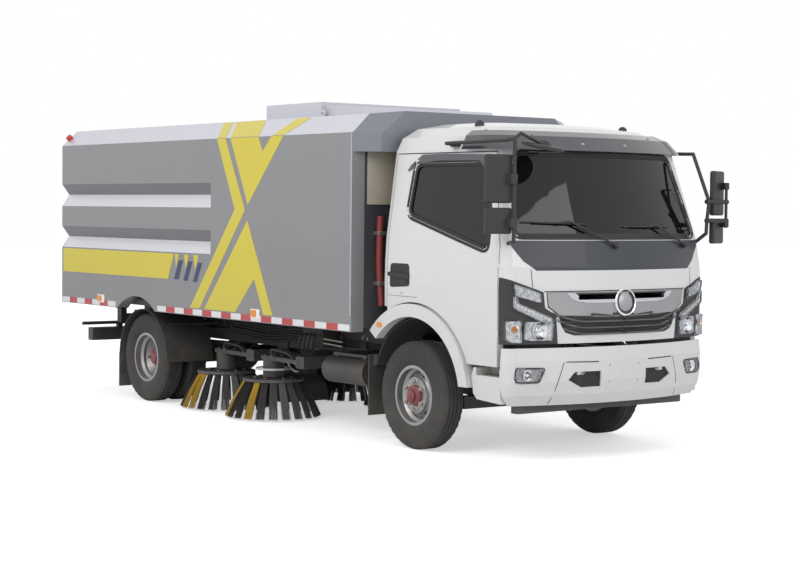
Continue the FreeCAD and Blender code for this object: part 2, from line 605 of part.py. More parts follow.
def cab():
    outer = cab_hull(0)
    inner = cab_hull(CAB_WALL, CAB_WALL, PANEL_BOTTOM - 5)
    shell = outer.cut(inner)
    under = box(CAB_REAR - 10, FOOTWELL_X, -1000, 1000, PANEL_BOTTOM - 10, CAB_FLOOR_HI)
    shell = shell.cut(under)
    doorway = door_outline(MOVING_GAP)
    window = windshield_prism(0)
    y, z0, z1 = REAR_WINDOW
    back = box(CAB_REAR - 20, CAB_REAR + 80, -y, y, z0, z1)
    shell = shell.cut([doorway, on_side(doorway, -1), window, back])
    skin = cab_hull(0).cut(cab_hull(CAB_WALL, CAB_WALL))
    cowl = skin.common(cowl_region(0))
    lamps = [skin.common(lamp_region(side, 0)) for _, side in SIDES]
    face = cab_hull(14).cut(cab_hull(CAB_WALL)).common(grille_region(0))
    bars = [cab_hull(0).cut(cab_hull(30)).common(grille_region(0)).common(
        box(AXLE_F, AXLE_F + 1300, -1000, 1000, z, z + t)) for z, t in GRILLE_BARS]
    vents = both_sides(box(AXLE_F + 900, AXLE_F + 1300, 50, 400, 1112, 1148))
    write("cowl_panel", cowl)
    write("headlamps", lamps)
    write("grille", face.fuse(bars).cut(vents))
    glass = cab_hull(8).cut(cab_hull(8 + GLASS_T))
    pane = box(CAB_REAR + 16, CAB_REAR + 16 + GLASS_T, -y + 0.4, y - 0.4, z0 + 0.4, z1 - 0.4)
    write("cab_glass", [glass.common(windshield_prism(0.4)), pane])
    back_x = CAB_REAR + CAB_WALL
    floor = prism([(back_x, CAB_FLOOR_HI), (FOOTWELL_X, CAB_FLOOR_HI), (FOOTWELL_X, CAB_FLOOR_LO),
                   (AXLE_F + 1030, CAB_FLOOR_LO), (AXLE_F + 1030, CAB_FLOOR_LO + CAB_FLOOR_T),
                   (FOOTWELL_X + CAB_FLOOR_T, CAB_FLOOR_LO + CAB_FLOOR_T),
                   (FOOTWELL_X + CAB_FLOOR_T, CAB_FLOOR_HI + CAB_FLOOR_T),
                   (back_x, CAB_FLOOR_HI + CAB_FLOOR_T)], "y", -880, 880)
    edge = CAB_WALL + FIT_GAP
    floor = floor.common(cab_hull(edge, edge, CAB_FLOOR_LO - 5))
    ears = []
    for y in (RAIL_Y - PIVOT_EAR_T - 2, WEB_Y + 2):
        ears += both_sides(pivot_ear(y))
    front = cab_hull(-1).cut(cab_hull(CAB_WALL + 12, CAB_WALL + 1, PANEL_BOTTOM - 5))
    places = [cowl_region(FIT_GAP), grille_region(FIT_GAP)]
    places += [lamp_region(side, FIT_GAP) for _, side in SIDES]
    room = box(CAB_PIVOT_X - 90, CAB_PIVOT_X + 100, RAIL_Y - MOVING_GAP, WEB_Y + MOVING_GAP,
               PANEL_BOTTOM - 5, CAB_PIVOT_Z - 20).common(cab_hull(THIN_WALL, THIN_WALL, PANEL_BOTTOM - 5))
    shell = shell.cut([front.common(place) for place in places] + both_sides(room))
    shell = max(shell.Solids, key=lambda s: s.Volume)
    write("cab_floor", floor.cut(both_sides(room)).fuse(ears))
    for low in DOOR_HINGES:
        middle = low + HINGE_LEN / 2
        shell = shell.cut(both_sides(hinge_rod(HINGE_R + 3, middle - FIT_GAP / 2, low + HINGE_LEN + 3)))
        shell = shell.fuse(both_sides(hinge_rod(HINGE_R, low, middle - FIT_GAP).fuse(
            hinge_rod(HINGE_PIN, low, low + HINGE_LEN))))
    write("cab_shell", shell)


def cab_door(name, side):
    hull = cab_hull(0, 0, DOOR_Z0 - 60)
    core = cab_hull(DOOR_WALL, 0, DOOR_Z0 - 61)
    panel = hull.cut(core).common(door_outline(0))
    panel = panel.cut(window_prism(0))
    for low in DOOR_HINGES:
        middle = low + HINGE_LEN / 2
        panel = panel.cut(hinge_rod(HINGE_R + 3, low - 3, middle - FIT_GAP / 2))
        panel = panel.fuse(hinge_rod(HINGE_R, middle, low + HINGE_LEN))
        panel = panel.cut(hinge_rod(HINGE_PIN + RUNNING, low - 1, low + HINGE_LEN + 1))
    write("door_" + name, on_side(max(panel.Solids, key=lambda s: s.Volume), side))
    glass = cab_hull(14).cut(cab_hull(14 + GLASS_T)).common(window_prism(0.4))
    write("door_glass_" + name, on_side(glass, side))


def fenders():
    """The flared arch over a front wheel. It rides on the cab and hangs from the cab's floor."""
    def sector(r0, r1, y0, y1):
        shape = ring(r0, r1, AXLE_F, AXLE_Z, y0, y1)
        keep = prism([(AXLE_F - 520, 850), (AXLE_F - 560, 1200), (AXLE_F + 800, 1200), (AXLE_F + 800, 500),
                      (AXLE_F + 500, 500), (AXLE_F, AXLE_Z), (AXLE_F - 400, 760)], "y", y0 - 1, y1 + 1)
        return shape.common(keep)
    lip = sector(FENDER_R0, FENDER_R1, 905, 978)
    well = sector(FENDER_R1 - 30, FENDER_R1 - 18, 640, 906).common(
        box(AXLE_F - 600, AXLE_F + 800, 600, 990, 500, CAB_FLOOR_HI - FIT_GAP))
    hanger = box(AXLE_F - 90, AXLE_F + 90, 700, 860, CAB_FLOOR_HI - 20, CAB_FLOOR_HI)
    write("front_fenders", both_sides(lip.fuse([well, hanger])))


VISOR_Z0, VISOR_Z1 = 2128.0, 2262.0


def visor():
    """The dark sun visor that wraps round the top of the windshield."""
    slab = box(AXLE_F + 480, AXLE_F + 1300, -1000, 1000, VISOR_Z0, VISOR_Z1)
    brow = cab_hull(-55, 0).cut(cab_hull(-43, 0)).common(slab)
    tabs = [box(AXLE_F + 800, AXLE_F + 960, y - 12, y + 12, 2150,
                2190).common(cab_hull(-44, 0)).cut(cab_hull(-0.3, 0))
            for y in (-450, 0, 450)]
    write("visor", brow.fuse(tabs))


ARM_ROOT = (AXLE_F + 350.0, 868.0, 2168.0)
ARM_OUT_Y = 945.0        # the arms pass outside the visor
ARM_R = 13.0
ARM_FOOT = (AXLE_F + 955.0, 895.0, 1490.0)
MIRROR_W, MIRROR_T = 190.0, 46.0
MIRROR_TURN = 22.0       # each glass is turned a little to the driver, who sits on the left
BIG_MIRROR = (1735.0, 2060.0)
SMALL_MIRROR = (1530.0, 1705.0)
LEFT_DROP = -45.0        # the left mirrors hang lower
RIGHT_RISE = 25.0


def mirror_head(x, y, z0, z1, turn):
    """A mirror housing with rounded edges, turned about its upright middle line."""
    head = box(-MIRROR_T / 2, MIRROR_T / 2, -MIRROR_W / 2, MIRROR_W / 2, z0, z1)
    head = head.makeFillet(16.0, head.Edges)
    head.rotate(V(0, 0, 0), Z_AXIS, turn)
    head.translate(V(x, y, 0))
    return head


def mirror_foot(y_sign):
    x, y, z = ARM_ROOT
    return box(x - 40, x + 40, *sorted((y_sign * 790, y_sign * (y + 12))), z - 18, z + 18)


def right_mirror():
    """The right arm: along the cab from its foot, down a post with both housings, back to the pillar."""
    x, y = AXLE_F + 1060, -932.0
    root = (ARM_ROOT[0], -ARM_ROOT[1], ARM_ROOT[2])
    arm = bent_rod([root, (root[0], -ARM_OUT_Y, 2172), (AXLE_F + 1000, -950, 2180), (x, y, 2190),
                    (x, y, 1505),
                    (ARM_FOOT[0], -ARM_FOOT[1], ARM_FOOT[2])], ARM_R)
    heads = [mirror_head(x - 76, y - 78, z0 + RIGHT_RISE, z1 + RIGHT_RISE, -MIRROR_TURN)
             for z0, z1 in (BIG_MIRROR, SMALL_MIRROR)]
    clips = [box(x - 50, x + 16, y - 40, y + 16, z, z + 64) for z in (1890, 1600)]
    return arm.fuse([mirror_foot(-1), round_mirror(x, y)] + heads + clips)


def left_mirror():
    """The left arm: along the cab, forward and down, back to the pillar. Two clamps hold a second post."""
    x, y = AXLE_F + 1050, 940.0
    arm = bent_rod([ARM_ROOT, (ARM_ROOT[0], ARM_OUT_Y, 2150), (AXLE_F + 880, ARM_OUT_Y, 2138), (x, y, 1790),
                    (x, 920, 1650), (x, 915, 1560), ARM_FOOT], ARM_R)
    post_y = y + 180
    post = rod((x, post_y, 1600), (x, post_y, 1930), ARM_R - 2)
    clamps = [rod((x, y - 30, z), (x, post_y + 14, z), 17) for z in (1790, 1652)]
    heads = [mirror_head(x - 42, post_y - 55, z0 + LEFT_DROP, z1 + LEFT_DROP, MIRROR_TURN)
             for z0, z1 in (BIG_MIRROR, SMALL_MIRROR)]
    clips = [box(x - 42, x + 14, post_y - 22, post_y + 16, z, z + 50) for z in (1880, 1605)]
    return arm.fuse([mirror_foot(1), post] + clamps + heads + clips)


def mirrors():
    room = cab_hull(-FIT_GAP, 0)
    shapes = [m.cut(room) for m in (right_mirror(), left_mirror())]
    write("mirrors", [max(m.Solids, key=lambda s: s.Volume) for m in shapes])


ROUND_MIRROR_R = 145.0


def round_mirror(post_x, post_y):
    """The down-looking mirror on its short arm, right front only."""
    arm = bent_rod([(post_x, post_y, 2190), (post_x + 15, post_y + 40, 2225), (post_x + 25, -740, 2165)],
                   11)
    head = Part.makeCylinder(ROUND_MIRROR_R, 30, V(AXLE_F + 1070, -690, 2128), V(0.2, 0.1, 1))
    head = head.makeFillet(12.0, head.Edges)
    dome = Part.makeSphere(62, V(AXLE_F + 1072, -688, 2130)).common(
        box(AXLE_F + 900, AXLE_F + 1300, -800, -600, 2140, 2300))
    head = head.fuse(dome)
    head.translate(V(AXLE_F + MIRROR_REACH - head.optimalBoundingBox().XMax, 0, 0))
    return arm.fuse(head)


STEERING_Y = 420.0
STEERING_HUB_LEN = 40.0
STEERING_HUB = (AXLE_F + 600, STEERING_Y, 1560.0)
STEERING_AXIS = (-math.sin(math.radians(32)), 0, math.cos(math.radians(32)))


def interior():
    seat_z = CAB_FLOOR_HI + CAB_FLOOR_T + FIT_GAP
    base = box(CAB_REAR + 110, AXLE_F + 230, -760, 760, seat_z, seat_z + 330)
    back = prism([(CAB_REAR + 60, seat_z + 330), (CAB_REAR + 210, seat_z + 330),
                  (CAB_REAR + 150, seat_z + 950),
                  (CAB_REAR + 60, seat_z + 950)], "y", -760, 760)
    write("seats", base.fuse(back))
    dash = prism([(AXLE_F + 790, 1180), (AXLE_F + 980, 1180), (AXLE_F + 980, 1440), (AXLE_F + 860, 1470),
                  (AXLE_F + 790, 1400)], "y", -840, 840)
    legs = [box(AXLE_F + 860, AXLE_F + 960, y - 40, y + 40, CAB_FLOOR_LO + CAB_FLOOR_T + FIT_GAP, 1181)
            for y in (-500, 500)]
    centre, axis = V(*STEERING_HUB), V(*STEERING_AXIS)
    column = Part.makeCylinder(28, 330 - STEERING_HUB_LEN - FIT_GAP, centre - axis * 330, axis)
    room = cab_hull(CAB_WALL + 1, CAB_WALL)
    write("dashboard", dash.fuse(legs + [column]).common(room))


def steering_wheel():
    centre, axis = V(*STEERING_HUB), V(*STEERING_AXIS)
    wheel = Part.makeTorus(205, 15, centre, axis)
    hub = Part.makeCylinder(45, STEERING_HUB_LEN, centre - axis * STEERING_HUB_LEN, axis)
    across = axis.cross(Y_AXIS)
    spokes = [rod(tuple(centre - axis * 15), tuple(centre - axis * 8 + d * 203), 10)
              for d in (Y_AXIS, -Y_AXIS, across)]
    write("steering_wheel", wheel.fuse([hub] + spokes))


# Bumper, steps, liners and the chassis' side equipment

BUMPER_Z0, BUMPER_Z1 = 395.0, 788.0
BUMPER_T = 14.0
BUMPER_REAR = DOOR_X1 + 32.0
BUMPER_SECTIONS = ((BUMPER_Z0, 908.0, 980.0, FRONT_OVERHANG - 58),
                   (468.0, 940.0, 1016.0, FRONT_OVERHANG - 18),
                   (560.0, 950.0, 1030.0, FRONT_OVERHANG), (700.0, 950.0, 1030.0, FRONT_OVERHANG),
                   (BUMPER_Z1, 945.0, 1020.0, FRONT_OVERHANG - 10))
BUMPER_MESH = ((212.0, 516.0), (212.0, 622.0), (431.0, 622.0), (484.0, 568.0), (376.0, 514.0))
UNDERRUN = (AXLE_F + 880.0, AXLE_F + 950.0, 780.0, 335.0, 390.0)
TOW_EYE_X, TOW_EYE_Z = AXLE_F + 990.0, 460.0
TOW_PIN_R = 20.0
TOW_EYE_R = 42.0
TOW_EYE_T = 25.0


def bumper_hull(inset):
    wires = []
    for z, half, corner, middle in BUMPER_SECTIONS:
        wires.append(cab_wire((z, half, corner, middle, 500.0, 90.0), inset))
    return Part.makeLoft(wires, True, True)


def bumper():
    shell = bumper_hull(0).cut(bumper_hull(BUMPER_T))
    shell = shell.common(box(BUMPER_REAR, AXLE_F + 1300, -1000, 1000, BUMPER_Z0, BUMPER_Z1))
    mesh = prism(BUMPER_MESH, "x", AXLE_F + 900, AXLE_F + 1300)

    def fog_region(inset):
        low, high, far = 557 + inset, 654 - inset, 876 - inset
        outline = [(704 + inset, low), (664 + inset, high), (far, high), (far, low)]
        return prism(outline, "x", AXLE_F + 900, AXLE_F + 1300)

    fog = fog_region(0)
    shell = shell.cut(both_sides(mesh) + both_sides(fog))
    stay = box(RAIL_FRONT + FIT_GAP, AXLE_F + 1130, RAIL_Y, RAIL_Y + RAIL_W, 600, 680)
    write("front_bumper", shell.fuse(both_sides(stay)))
    lamps = bumper_hull(6).cut(bumper_hull(60))
    fog_lamps = [lamps.common(s) for s in both_sides(fog_region(FIT_GAP))]
    x0, x1, y, z0, z1 = UNDERRUN
    guard = box(x0, x1, -y, y, z0, z1)
    arm = box(x0, x1, RAIL_Y, RAIL_Y + RAIL_W, z1 - 1, RAIL_Z0)
    x, y, z = TOW_EYE_X, RAIL_Y + RAIL_W / 2, TOW_EYE_Z - TOW_EYE_T / 2
    eye = box(x1 - 1, x, y - TOW_EYE_R, y + TOW_EYE_R, z, z + TOW_EYE_T)
    eye = eye.fuse(Part.makeCylinder(TOW_EYE_R, TOW_EYE_T, V(x, y, z)))
    eye = eye.cut(Part.makeCylinder(TOW_PIN_R, TOW_EYE_T + 2, V(x, y, z - 1)))
    return guard.fuse(both_sides(arm.fuse(eye))), fog_lamps


def steps():
    profile = [(AXLE_F + 618, 505), (AXLE_F + 700, 425), (AXLE_F + 948, 410), (AXLE_F + 948, 640),
               (AXLE_F + 660, 640)]
    tread = prism(profile, "y", 770, 935)
    pocket = box(AXLE_F + 690, AXLE_F + 935, 800, 940, 590, 641)
    bracket = box(AXLE_F + 760, AXLE_F + 860, RAIL_Y + RAIL_W, 771, 560, 620)
    tread = tread.cut([pocket, disc(FENDER_R1 + MOVING_GAP + 3, AXLE_F, AXLE_Z, 700, 1000)])
    write("steps", both_sides(tread.fuse(bracket)))


LINER_R = 545.0


def front_liners():
    """Dark inner arches behind the front wheels with their mud flaps, on the frame."""
    band = ring(LINER_R, LINER_R + 8, AXLE_F, AXLE_Z, 560, 890)
    keep = prism([(AXLE_F - 700, 560), (AXLE_F - 700, 1000), (AXLE_F + 250, 1000), (AXLE_F + 250, 900),
                  (AXLE_F - 380, 560)], "y", 500, 1000)
    band = band.common(keep)
    flap = box(AXLE_F - LINER_R - 20, AXLE_F - LINER_R - 10, 560, 930, 190, 640)
    joint = box(AXLE_F - LINER_R - 12, AXLE_F - LINER_R + 30, 560, 890, 560, 640).cut(
        disc(LINER_R, AXLE_F, AXLE_Z, 550, 900))
    arm = box(AXLE_F - LINER_R - 20, AXLE_F - LINER_R + 10, RAIL_Y + RAIL_W, 561, 600, 640)
    return both_sides(band.fuse([flap, joint, arm]))


def rear_mudguards():
    """Arched guards over the twin wheels, with flaps, on brackets from the rails."""
    r0 = TYRE_R + 32
    band = ring(r0, r0 + 7, AXLE_R, AXLE_Z, 570, 1030)
    keep = prism([(AXLE_R - 600, 330), (AXLE_R - 600, 1000), (AXLE_R + 600, 1000), (AXLE_R + 600, 380)],
                 "y", 500, 1100)
    band = band.common(keep)
    flap = box(AXLE_R - r0 - 14, AXLE_R - r0 + 2, 570, 1030, 100, 400)
    brackets = [rod((x, RAIL_Y + RAIL_W, z), (x, 1000, z), 14) for x, z in
                ((AXLE_R - 300, 690), (AXLE_R + 300, 690))]
    return both_sides(band.fuse([flap] + brackets))


REAR_BAR_X = AXLE_F - REAR_REACH
REAR_BAR = (REAR_BAR_X, REAR_BAR_X + 90, 810.0, 440.0, 560.0)


def rear_bumper():
    x0, x1, y, z0, z1 = REAR_BAR
    beam = box(x0, x1, -y, y, z0, z1)
    thin = rod((x0 + 20, -880, 600), (x0 + 20, 880, 600), 16)
    posts = [box(x0 + 20, x0 + 60, s * 500 - 25, s * 500 + 25, z1 - 1, 610) for s in (-1, 1)]
    arms = [box(x1 - 1, RAIL_REAR, y0, y0 + RAIL_W, z0 + 20, z1) for y0 in (RAIL_Y, -RAIL_Y - RAIL_W)]
    drops = [box(RAIL_REAR, RAIL_REAR + 90, y0, y0 + RAIL_W, z0 + 20, RAIL_Z0)
             for y0 in (RAIL_Y, -RAIL_Y - RAIL_W)]
    write("rear_bumper", beam.fuse([thin] + posts + arms + drops))
    lamp = box(x0 + FIT_GAP, x0 + 40, 640, 800, 455, 545)
    return both_sides(lamp.translated(V(-8, 0, 0)).cut(beam))


def side_equipment():
    """Fuel tank on the left, air tanks on the right."""
    tank = box(AXLE_F - 1560, AXLE_F - 760, RAIL_Y + RAIL_W + 30, 880, 400, 740)
    tank = tank.makeFillet(50.0, tank.Edges)
    straps = [box(x, x + 50, RAIL_Y + RAIL_W, RAIL_Y + RAIL_W + 60, 440, 720)
              for x in (AXLE_F - 1450, AXLE_F - 900)]
    tank = tank.fuse(straps)
    cylinders = [rod((AXLE_F - 1250, -y, 480), (AXLE_F - 720, -y, 480), 105) for y in (540, 770)]
    plate = box(AXLE_F - 1200, AXLE_F - 760, -800, -RAIL_Y - RAIL_W, 590, 610)
    hang = [box(x, x + 30, -800, -500, 480, 600) for x in (AXLE_F - 1180, AXLE_F - 810)]
    write("side_tanks", [tank, plate.fuse(cylinders + hang)])


# Box

def groove(z_top, z_apex, z_low):
    """A V-shaped groove along a side wall, open to the rear."""
    y = BOX_Y
    return prism([(y + 1, z_top + 1.3), (y, z_top), (y - GROOVE_DEEP, z_apex), (y, z_low),
                  (y + 1, z_low - 1.3)],
                 "x", BOX_REAR - 1, GROOVE_FRONT)


def box_side(name, side):
    profile = [(BOX_Y - SIDE_T, SKIRT_Z), (BOX_Y, SKIRT_Z), (BOX_Y, SIDE_Z1), (BOX_Y - SIDE_T, SIDE_Z1)]
    wall = prism(profile, "x", BOX_REAR, BOX_FRONT)
    wall = wall.cut([groove(*g) for g in GROOVES])
    wall = wall.cut(disc(ARCH_R, AXLE_R, AXLE_Z, 900, 1200))
    write("box_side_" + name, on_side(wall, side))


HINGE_Y = 600.0
HINGE_PIN_R = 10.0
REAR_HINGE_Z = ROOF_Z - 22


def box_body():
    x0, x1 = BOX_REAR + DOOR_T + MOVING_GAP, BOX_FRONT
    y = BOX_Y - SIDE_T - FIT_GAP
    roof_outer = [(-BOX_Y, SIDE_Z1 + FIT_GAP), (BOX_Y, SIDE_Z1 + FIT_GAP), (CHAMFER_Y, ROOF_Z),
                  (-CHAMFER_Y, ROOF_Z)]
    t = ROOF_T
    roof_inner = [(-BOX_Y + SIDE_T, SIDE_Z1 - 1), (BOX_Y - SIDE_T, SIDE_Z1 - 1),
                  (BOX_Y - SIDE_T, SIDE_Z1 + 20),
                  (CHAMFER_Y - 20, ROOF_Z - t), (20 - CHAMFER_Y, ROOF_Z - t),
                  (-BOX_Y + SIDE_T, SIDE_Z1 + 20)]
    roof = prism(roof_outer, "x", BOX_REAR, x1).cut(prism(roof_inner, "x", BOX_REAR - 1, x1 - BOX_WALL_T))
    notches = [box(BOX_REAR - 1, BOX_REAR + 45, s * HINGE_Y - 38, s * HINGE_Y + 38, ROOF_Z - 60, ROOF_Z + 1)
               for s in (-1, 1)]
    roof = roof.cut(notches)
    ears = []
    for s in (-1, 1):
        for e in (-1, 1):
            middle = s * HINGE_Y + e * 30
            ears.append(box(BOX_REAR - 20, BOX_REAR + 50, middle - 8, middle + 8, ROOF_Z - ROOF_T + 1,
                            ROOF_Z))
        ears.append(disc(HINGE_PIN_R, BOX_REAR, REAR_HINGE_Z, s * HINGE_Y - 38, s * HINGE_Y + 38))
    write("box_roof", roof.fuse(ears))
    floor = box(x0, x1 - BOX_WALL_T, -y, y, FLOOR_Z0, FLOOR_Z0 + FLOOR_T)
    ears = []
    for s in (-1, 1):
        for e in (-1, 1):
            middle = s * (TIP_EAR_Y + e * (TIP_EAR_T / 2 + 6 + TIP_SIDE_T / 2))
            plate = box(TIP_X - TIP_R, TIP_X + TIP_R, middle - TIP_SIDE_T / 2, middle + TIP_SIDE_T / 2,
                        TIP_Z, FLOOR_Z0)
            boss = disc(TIP_R, TIP_X, TIP_Z, middle - TIP_SIDE_T / 2, middle + TIP_SIDE_T / 2)
            ears.append(plate.fuse(boss))
    lugs = [prism([(CYL_EYE_X - 45, FLOOR_Z0), (CYL_EYE_X + 45, FLOOR_Z0), (CYL_EYE_X + 30, CYL_EYE_Z - 34),
                   (CYL_EYE_X - 30, CYL_EYE_Z - 34)], "y", *sorted((s * 50, s * 66))) for s in (-1, 1)]
    wall = box(x1 - BOX_WALL_T, x1, -y, y, FLOOR_Z0, SIDE_Z1 - FIT_GAP)
    hole = disc(TIP_PIN_R + RUNNING, TIP_X, TIP_Z, -900, 900)
    write("box_floor", floor.fuse(ears + lugs + [wall]).cut(hole))


def tip_brackets():
    """Uprights on the rails that carry the box's tipping pins."""
    pieces = []
    for s in (-1, 1):
        low, high = s * TIP_EAR_Y - TIP_EAR_T / 2, s * TIP_EAR_Y + TIP_EAR_T / 2
        upright = box(TIP_X - TIP_R, TIP_X + TIP_R, low, high, 620, TIP_Z)
        boss = disc(TIP_R, TIP_X, TIP_Z, low, high)
        inner = min(abs(low), abs(high))
        link = on_side(box(TIP_X - 30, TIP_X + 30, WEB_Y, inner + 1, 620, 700), s)
        pin_y = (s * (TIP_EAR_Y - 70), s * (TIP_EAR_Y + 70))
        pin = disc(TIP_PIN_R, TIP_X, TIP_Z, min(pin_y), max(pin_y))
        pieces.append(upright.fuse([boss, link, pin]))
    return pieces


def fairing():
    """The hood in front of the box: it narrows from the box's outline to the cab's width."""
    x0, x1 = BOX_FRONT + FIT_GAP, CAB_REAR - 22
    def outline(x, y, y_top, z_low, z_side, z_top):
        corners = [V(x, -y, z_low), V(x, y, z_low), V(x, y, z_side), V(x, y_top, z_top),
                   V(x, -y_top, z_top), V(x, -y, z_side)]
        return Part.makePolygon(corners + [corners[0]])
    outer = Part.makeLoft([outline(x0, BOX_Y, CHAMFER_Y, 2130, SIDE_Z1, ROOF_Z),
                           outline(x1, BOX_Y - 150, CHAMFER_Y - 220, 2130, SIDE_Z1 - 10, ROOF_Z + 22)],
                           True, True)
    inner = Part.makeLoft([outline(x0 - 1, BOX_Y - 30, CHAMFER_Y - 22, 2100, SIDE_Z1 - 25, ROOF_Z - 30),
                           outline(x1 - 25, BOX_Y - 170, CHAMFER_Y - 225, 2100, SIDE_Z1 - 30,
                                   ROOF_Z - 12)], True, True)
    write("fairing", outer.cut(inner))


def roof_hood():
    """The fan cover and air outlet on the roof, with lifting eyes."""
    x0, x1, x2 = AXLE_F - 2330, AXLE_F - 1540, AXLE_F - 1080
    y, z = 700.0, ROOF_Z + FIT_GAP
    tall = box(x0, x1, -y, y, z, 2548)
    low = prism([(x1 - 1, z), (x2 + 60, z), (x2, 2500), (x1 - 1, 2525)], "y", -y + 40, y - 40)
    eye = ring(14, 32, x1 + 25, z + 45, -y - 10, -y + 6)
    write("roof_hood", tall.fuse([low, eye, on_side(eye, -1)]))


def rear_door():
    """The tailgate, hung at the roof's rear edge, between the side walls and under the roof."""
    y, top = BOX_Y - SIDE_T - MOVING_GAP, SIDE_Z1 - 6
    y_top = CHAMFER_Y - 20 - MOVING_GAP
    z0, z1 = FLOOR_Z0 - 20, ROOF_Z - ROOF_T - MOVING_GAP
    panel = prism([(-y, z0), (y, z0), (y, top), (y_top, z1), (-y_top, z1), (-y, top)], "x", BOX_REAR,
                  BOX_REAR + DOOR_T)
    ribs = [box(BOX_REAR - 18, BOX_REAR, -y + 60, y - 60, z, z + 50) for z in (1150, 1500, 1850)]
    arms, bosses = [], []
    for s in (-1, 1):
        low, high = s * HINGE_Y - 20, s * HINGE_Y + 20
        arms.append(box(BOX_REAR - 18, BOX_REAR + 22, low, high, z1 - 60, REAR_HINGE_Z))
        bosses.append(disc(20, BOX_REAR, REAR_HINGE_Z, low, high))
    bore = disc(HINGE_PIN_R + RUNNING, BOX_REAR, REAR_HINGE_Z, -BOX_Y, BOX_Y)
    write("rear_door", panel.fuse(ribs + arms + bosses).cut(bore))


# Tipping cylinder

CYL_BASE_X = AXLE_F - 2500.0
CYL_BASE_Z = 650.0
CYL_EYE_X = AXLE_F - 3700.0
CYL_EYE_Z = 780.0
BARREL_R = 52.0
ROD_R = 26.0
BARREL_LEN = 1090.0
ROD_START = 90.0


def tip_cylinder():
    base, eye = V(CYL_BASE_X, 0, CYL_BASE_Z), V(CYL_EYE_X, 0, CYL_EYE_Z)
    along = (eye - base).normalize()
    length = math.hypot(CYL_EYE_X - CYL_BASE_X, CYL_EYE_Z - CYL_BASE_Z)
    barrel = Part.makeCylinder(BARREL_R, BARREL_LEN - 50, base + along * 50, along)
    bore = Part.makeCylinder(ROD_R + 0.5, BARREL_LEN, base + along * (ROD_START - 6), along)
    knob = disc(40, CYL_BASE_X, CYL_BASE_Z, -34, 34).fuse(Part.makeCylinder(30, 60, base, along))
    hole = disc(16 + RUNNING, CYL_BASE_X, CYL_BASE_Z, -40, 40)
    write("tip_barrel", barrel.fuse(knob).cut([bore, hole]))
    stem = Part.makeCylinder(ROD_R, length - ROD_START, base + along * ROD_START, along)
    eye_ring = disc(32, CYL_EYE_X, CYL_EYE_Z, -34, 34)
    hole = disc(16, CYL_EYE_X, CYL_EYE_Z, -40, 40)
    write("tip_rod", stem.fuse(eye_ring).cut(hole))
    cheek = box(CYL_BASE_X, CROSS_X[CYL_CROSS] - CROSS_W / 2, 36, 52, CYL_BASE_Z - 38, CYL_BASE_Z + 38)
    cheek = cheek.fuse(disc(38, CYL_BASE_X, CYL_BASE_Z, 36, 52))
    return disc(16, CYL_BASE_X, CYL_BASE_Z, -52, 52).fuse(both_sides(cheek))


# Disc brushes, their arms, and the suction nozzle

BRUSHES = (("front", AXLE_F - 2200, 700.0), ("rear", AXLE_F - 3005, 655.0))
BRUSH_TIP_R = 398.0
BRUSH_PLATE_R = 250.0
BRUSH_PLATE_Z = 300.0
BRUSH_PLATE_T = 26.0
TIP_CLEAR = 12.0
TUFTS = 22
TUFT_HALF = 16.0
MOTOR_R = 85.0
MOTOR_Z0, MOTOR_Z1 = 334.0, 475.0
ARM_T = 30.0
ARM_REACH = 480.0        # pivot of an arm to the middle of its brush
ARM_OFFSET = 60.0        # the pivot is that much further out than the brush
ARM_EYE_R = 36.0
ARM_PIN_R = 18.0
LUG_T = 28.0
LUG_GAP = 2.0
BRUSH_SHAFT_R = 20.0


def brush(name, x, y, side):
    """A disc with slanted bundles of bristles round its edge."""
    z = BRUSH_PLATE_Z
    plate = Part.makeCylinder(BRUSH_PLATE_R, BRUSH_PLATE_T, V(x, y, z))
    shaft = Part.makeCylinder(BRUSH_SHAFT_R, 90, V(x, y, z + BRUSH_PLATE_T))

    def section(r, height, wide):
        corners = [V(r - TUFT_HALF, -wide, height), V(r + TUFT_HALF, -wide, height),
                   V(r + TUFT_HALF, wide, height), V(r - TUFT_HALF, wide, height)]
        return Part.makePolygon(corners + [corners[0]])

    tufts = []
    for i in range(TUFTS):
        tip = math.sqrt(BRUSH_TIP_R ** 2 - 30.0 ** 2) - TUFT_HALF
        tuft = Part.makeLoft([section(BRUSH_PLATE_R - 30, z + 8, 20), section(tip, TIP_CLEAR, 30)], True,
                             True)
        tuft.rotate(V(0, 0, 0), Z_AXIS, 360.0 * i / TUFTS)
        tuft.translate(V(x, y, 0))
        tufts.append(tuft)
    write(name, on_side(plate.fuse([shaft] + tufts), side))


def brush_arm(name, x, y, side):
    """The trailing arm: an eye on its bracket's upright pin, a flat arm, and the motor above the brush."""
    xp, yp = x + ARM_REACH, y + ARM_OFFSET
    z0, z1 = MOTOR_Z1 - 2, MOTOR_Z1 + ARM_T
    motor = Part.makeCylinder(MOTOR_R, MOTOR_Z1 - MOTOR_Z0, V(x, y, MOTOR_Z0))
    bore = Part.makeCylinder(BRUSH_SHAFT_R + RUNNING, 90, V(x, y, MOTOR_Z0 - 1))
    eye = Part.makeCylinder(ARM_EYE_R, z1 - z0, V(xp, yp, z0))
    plate = prism([(xp, yp - ARM_EYE_R), (xp, yp + ARM_EYE_R), (x + 60, y + 75), (x - 70, y + 75),
                   (x - 70, y - 75),
                   (x + 60, y - 75)], "z", z0, z1)
    hole = Part.makeCylinder(ARM_PIN_R + RUNNING, 100, V(xp, yp, z0 - 1))
    shape = motor.fuse([eye, plate]).cut([bore, hole])
    write(name, on_side(shape, side))


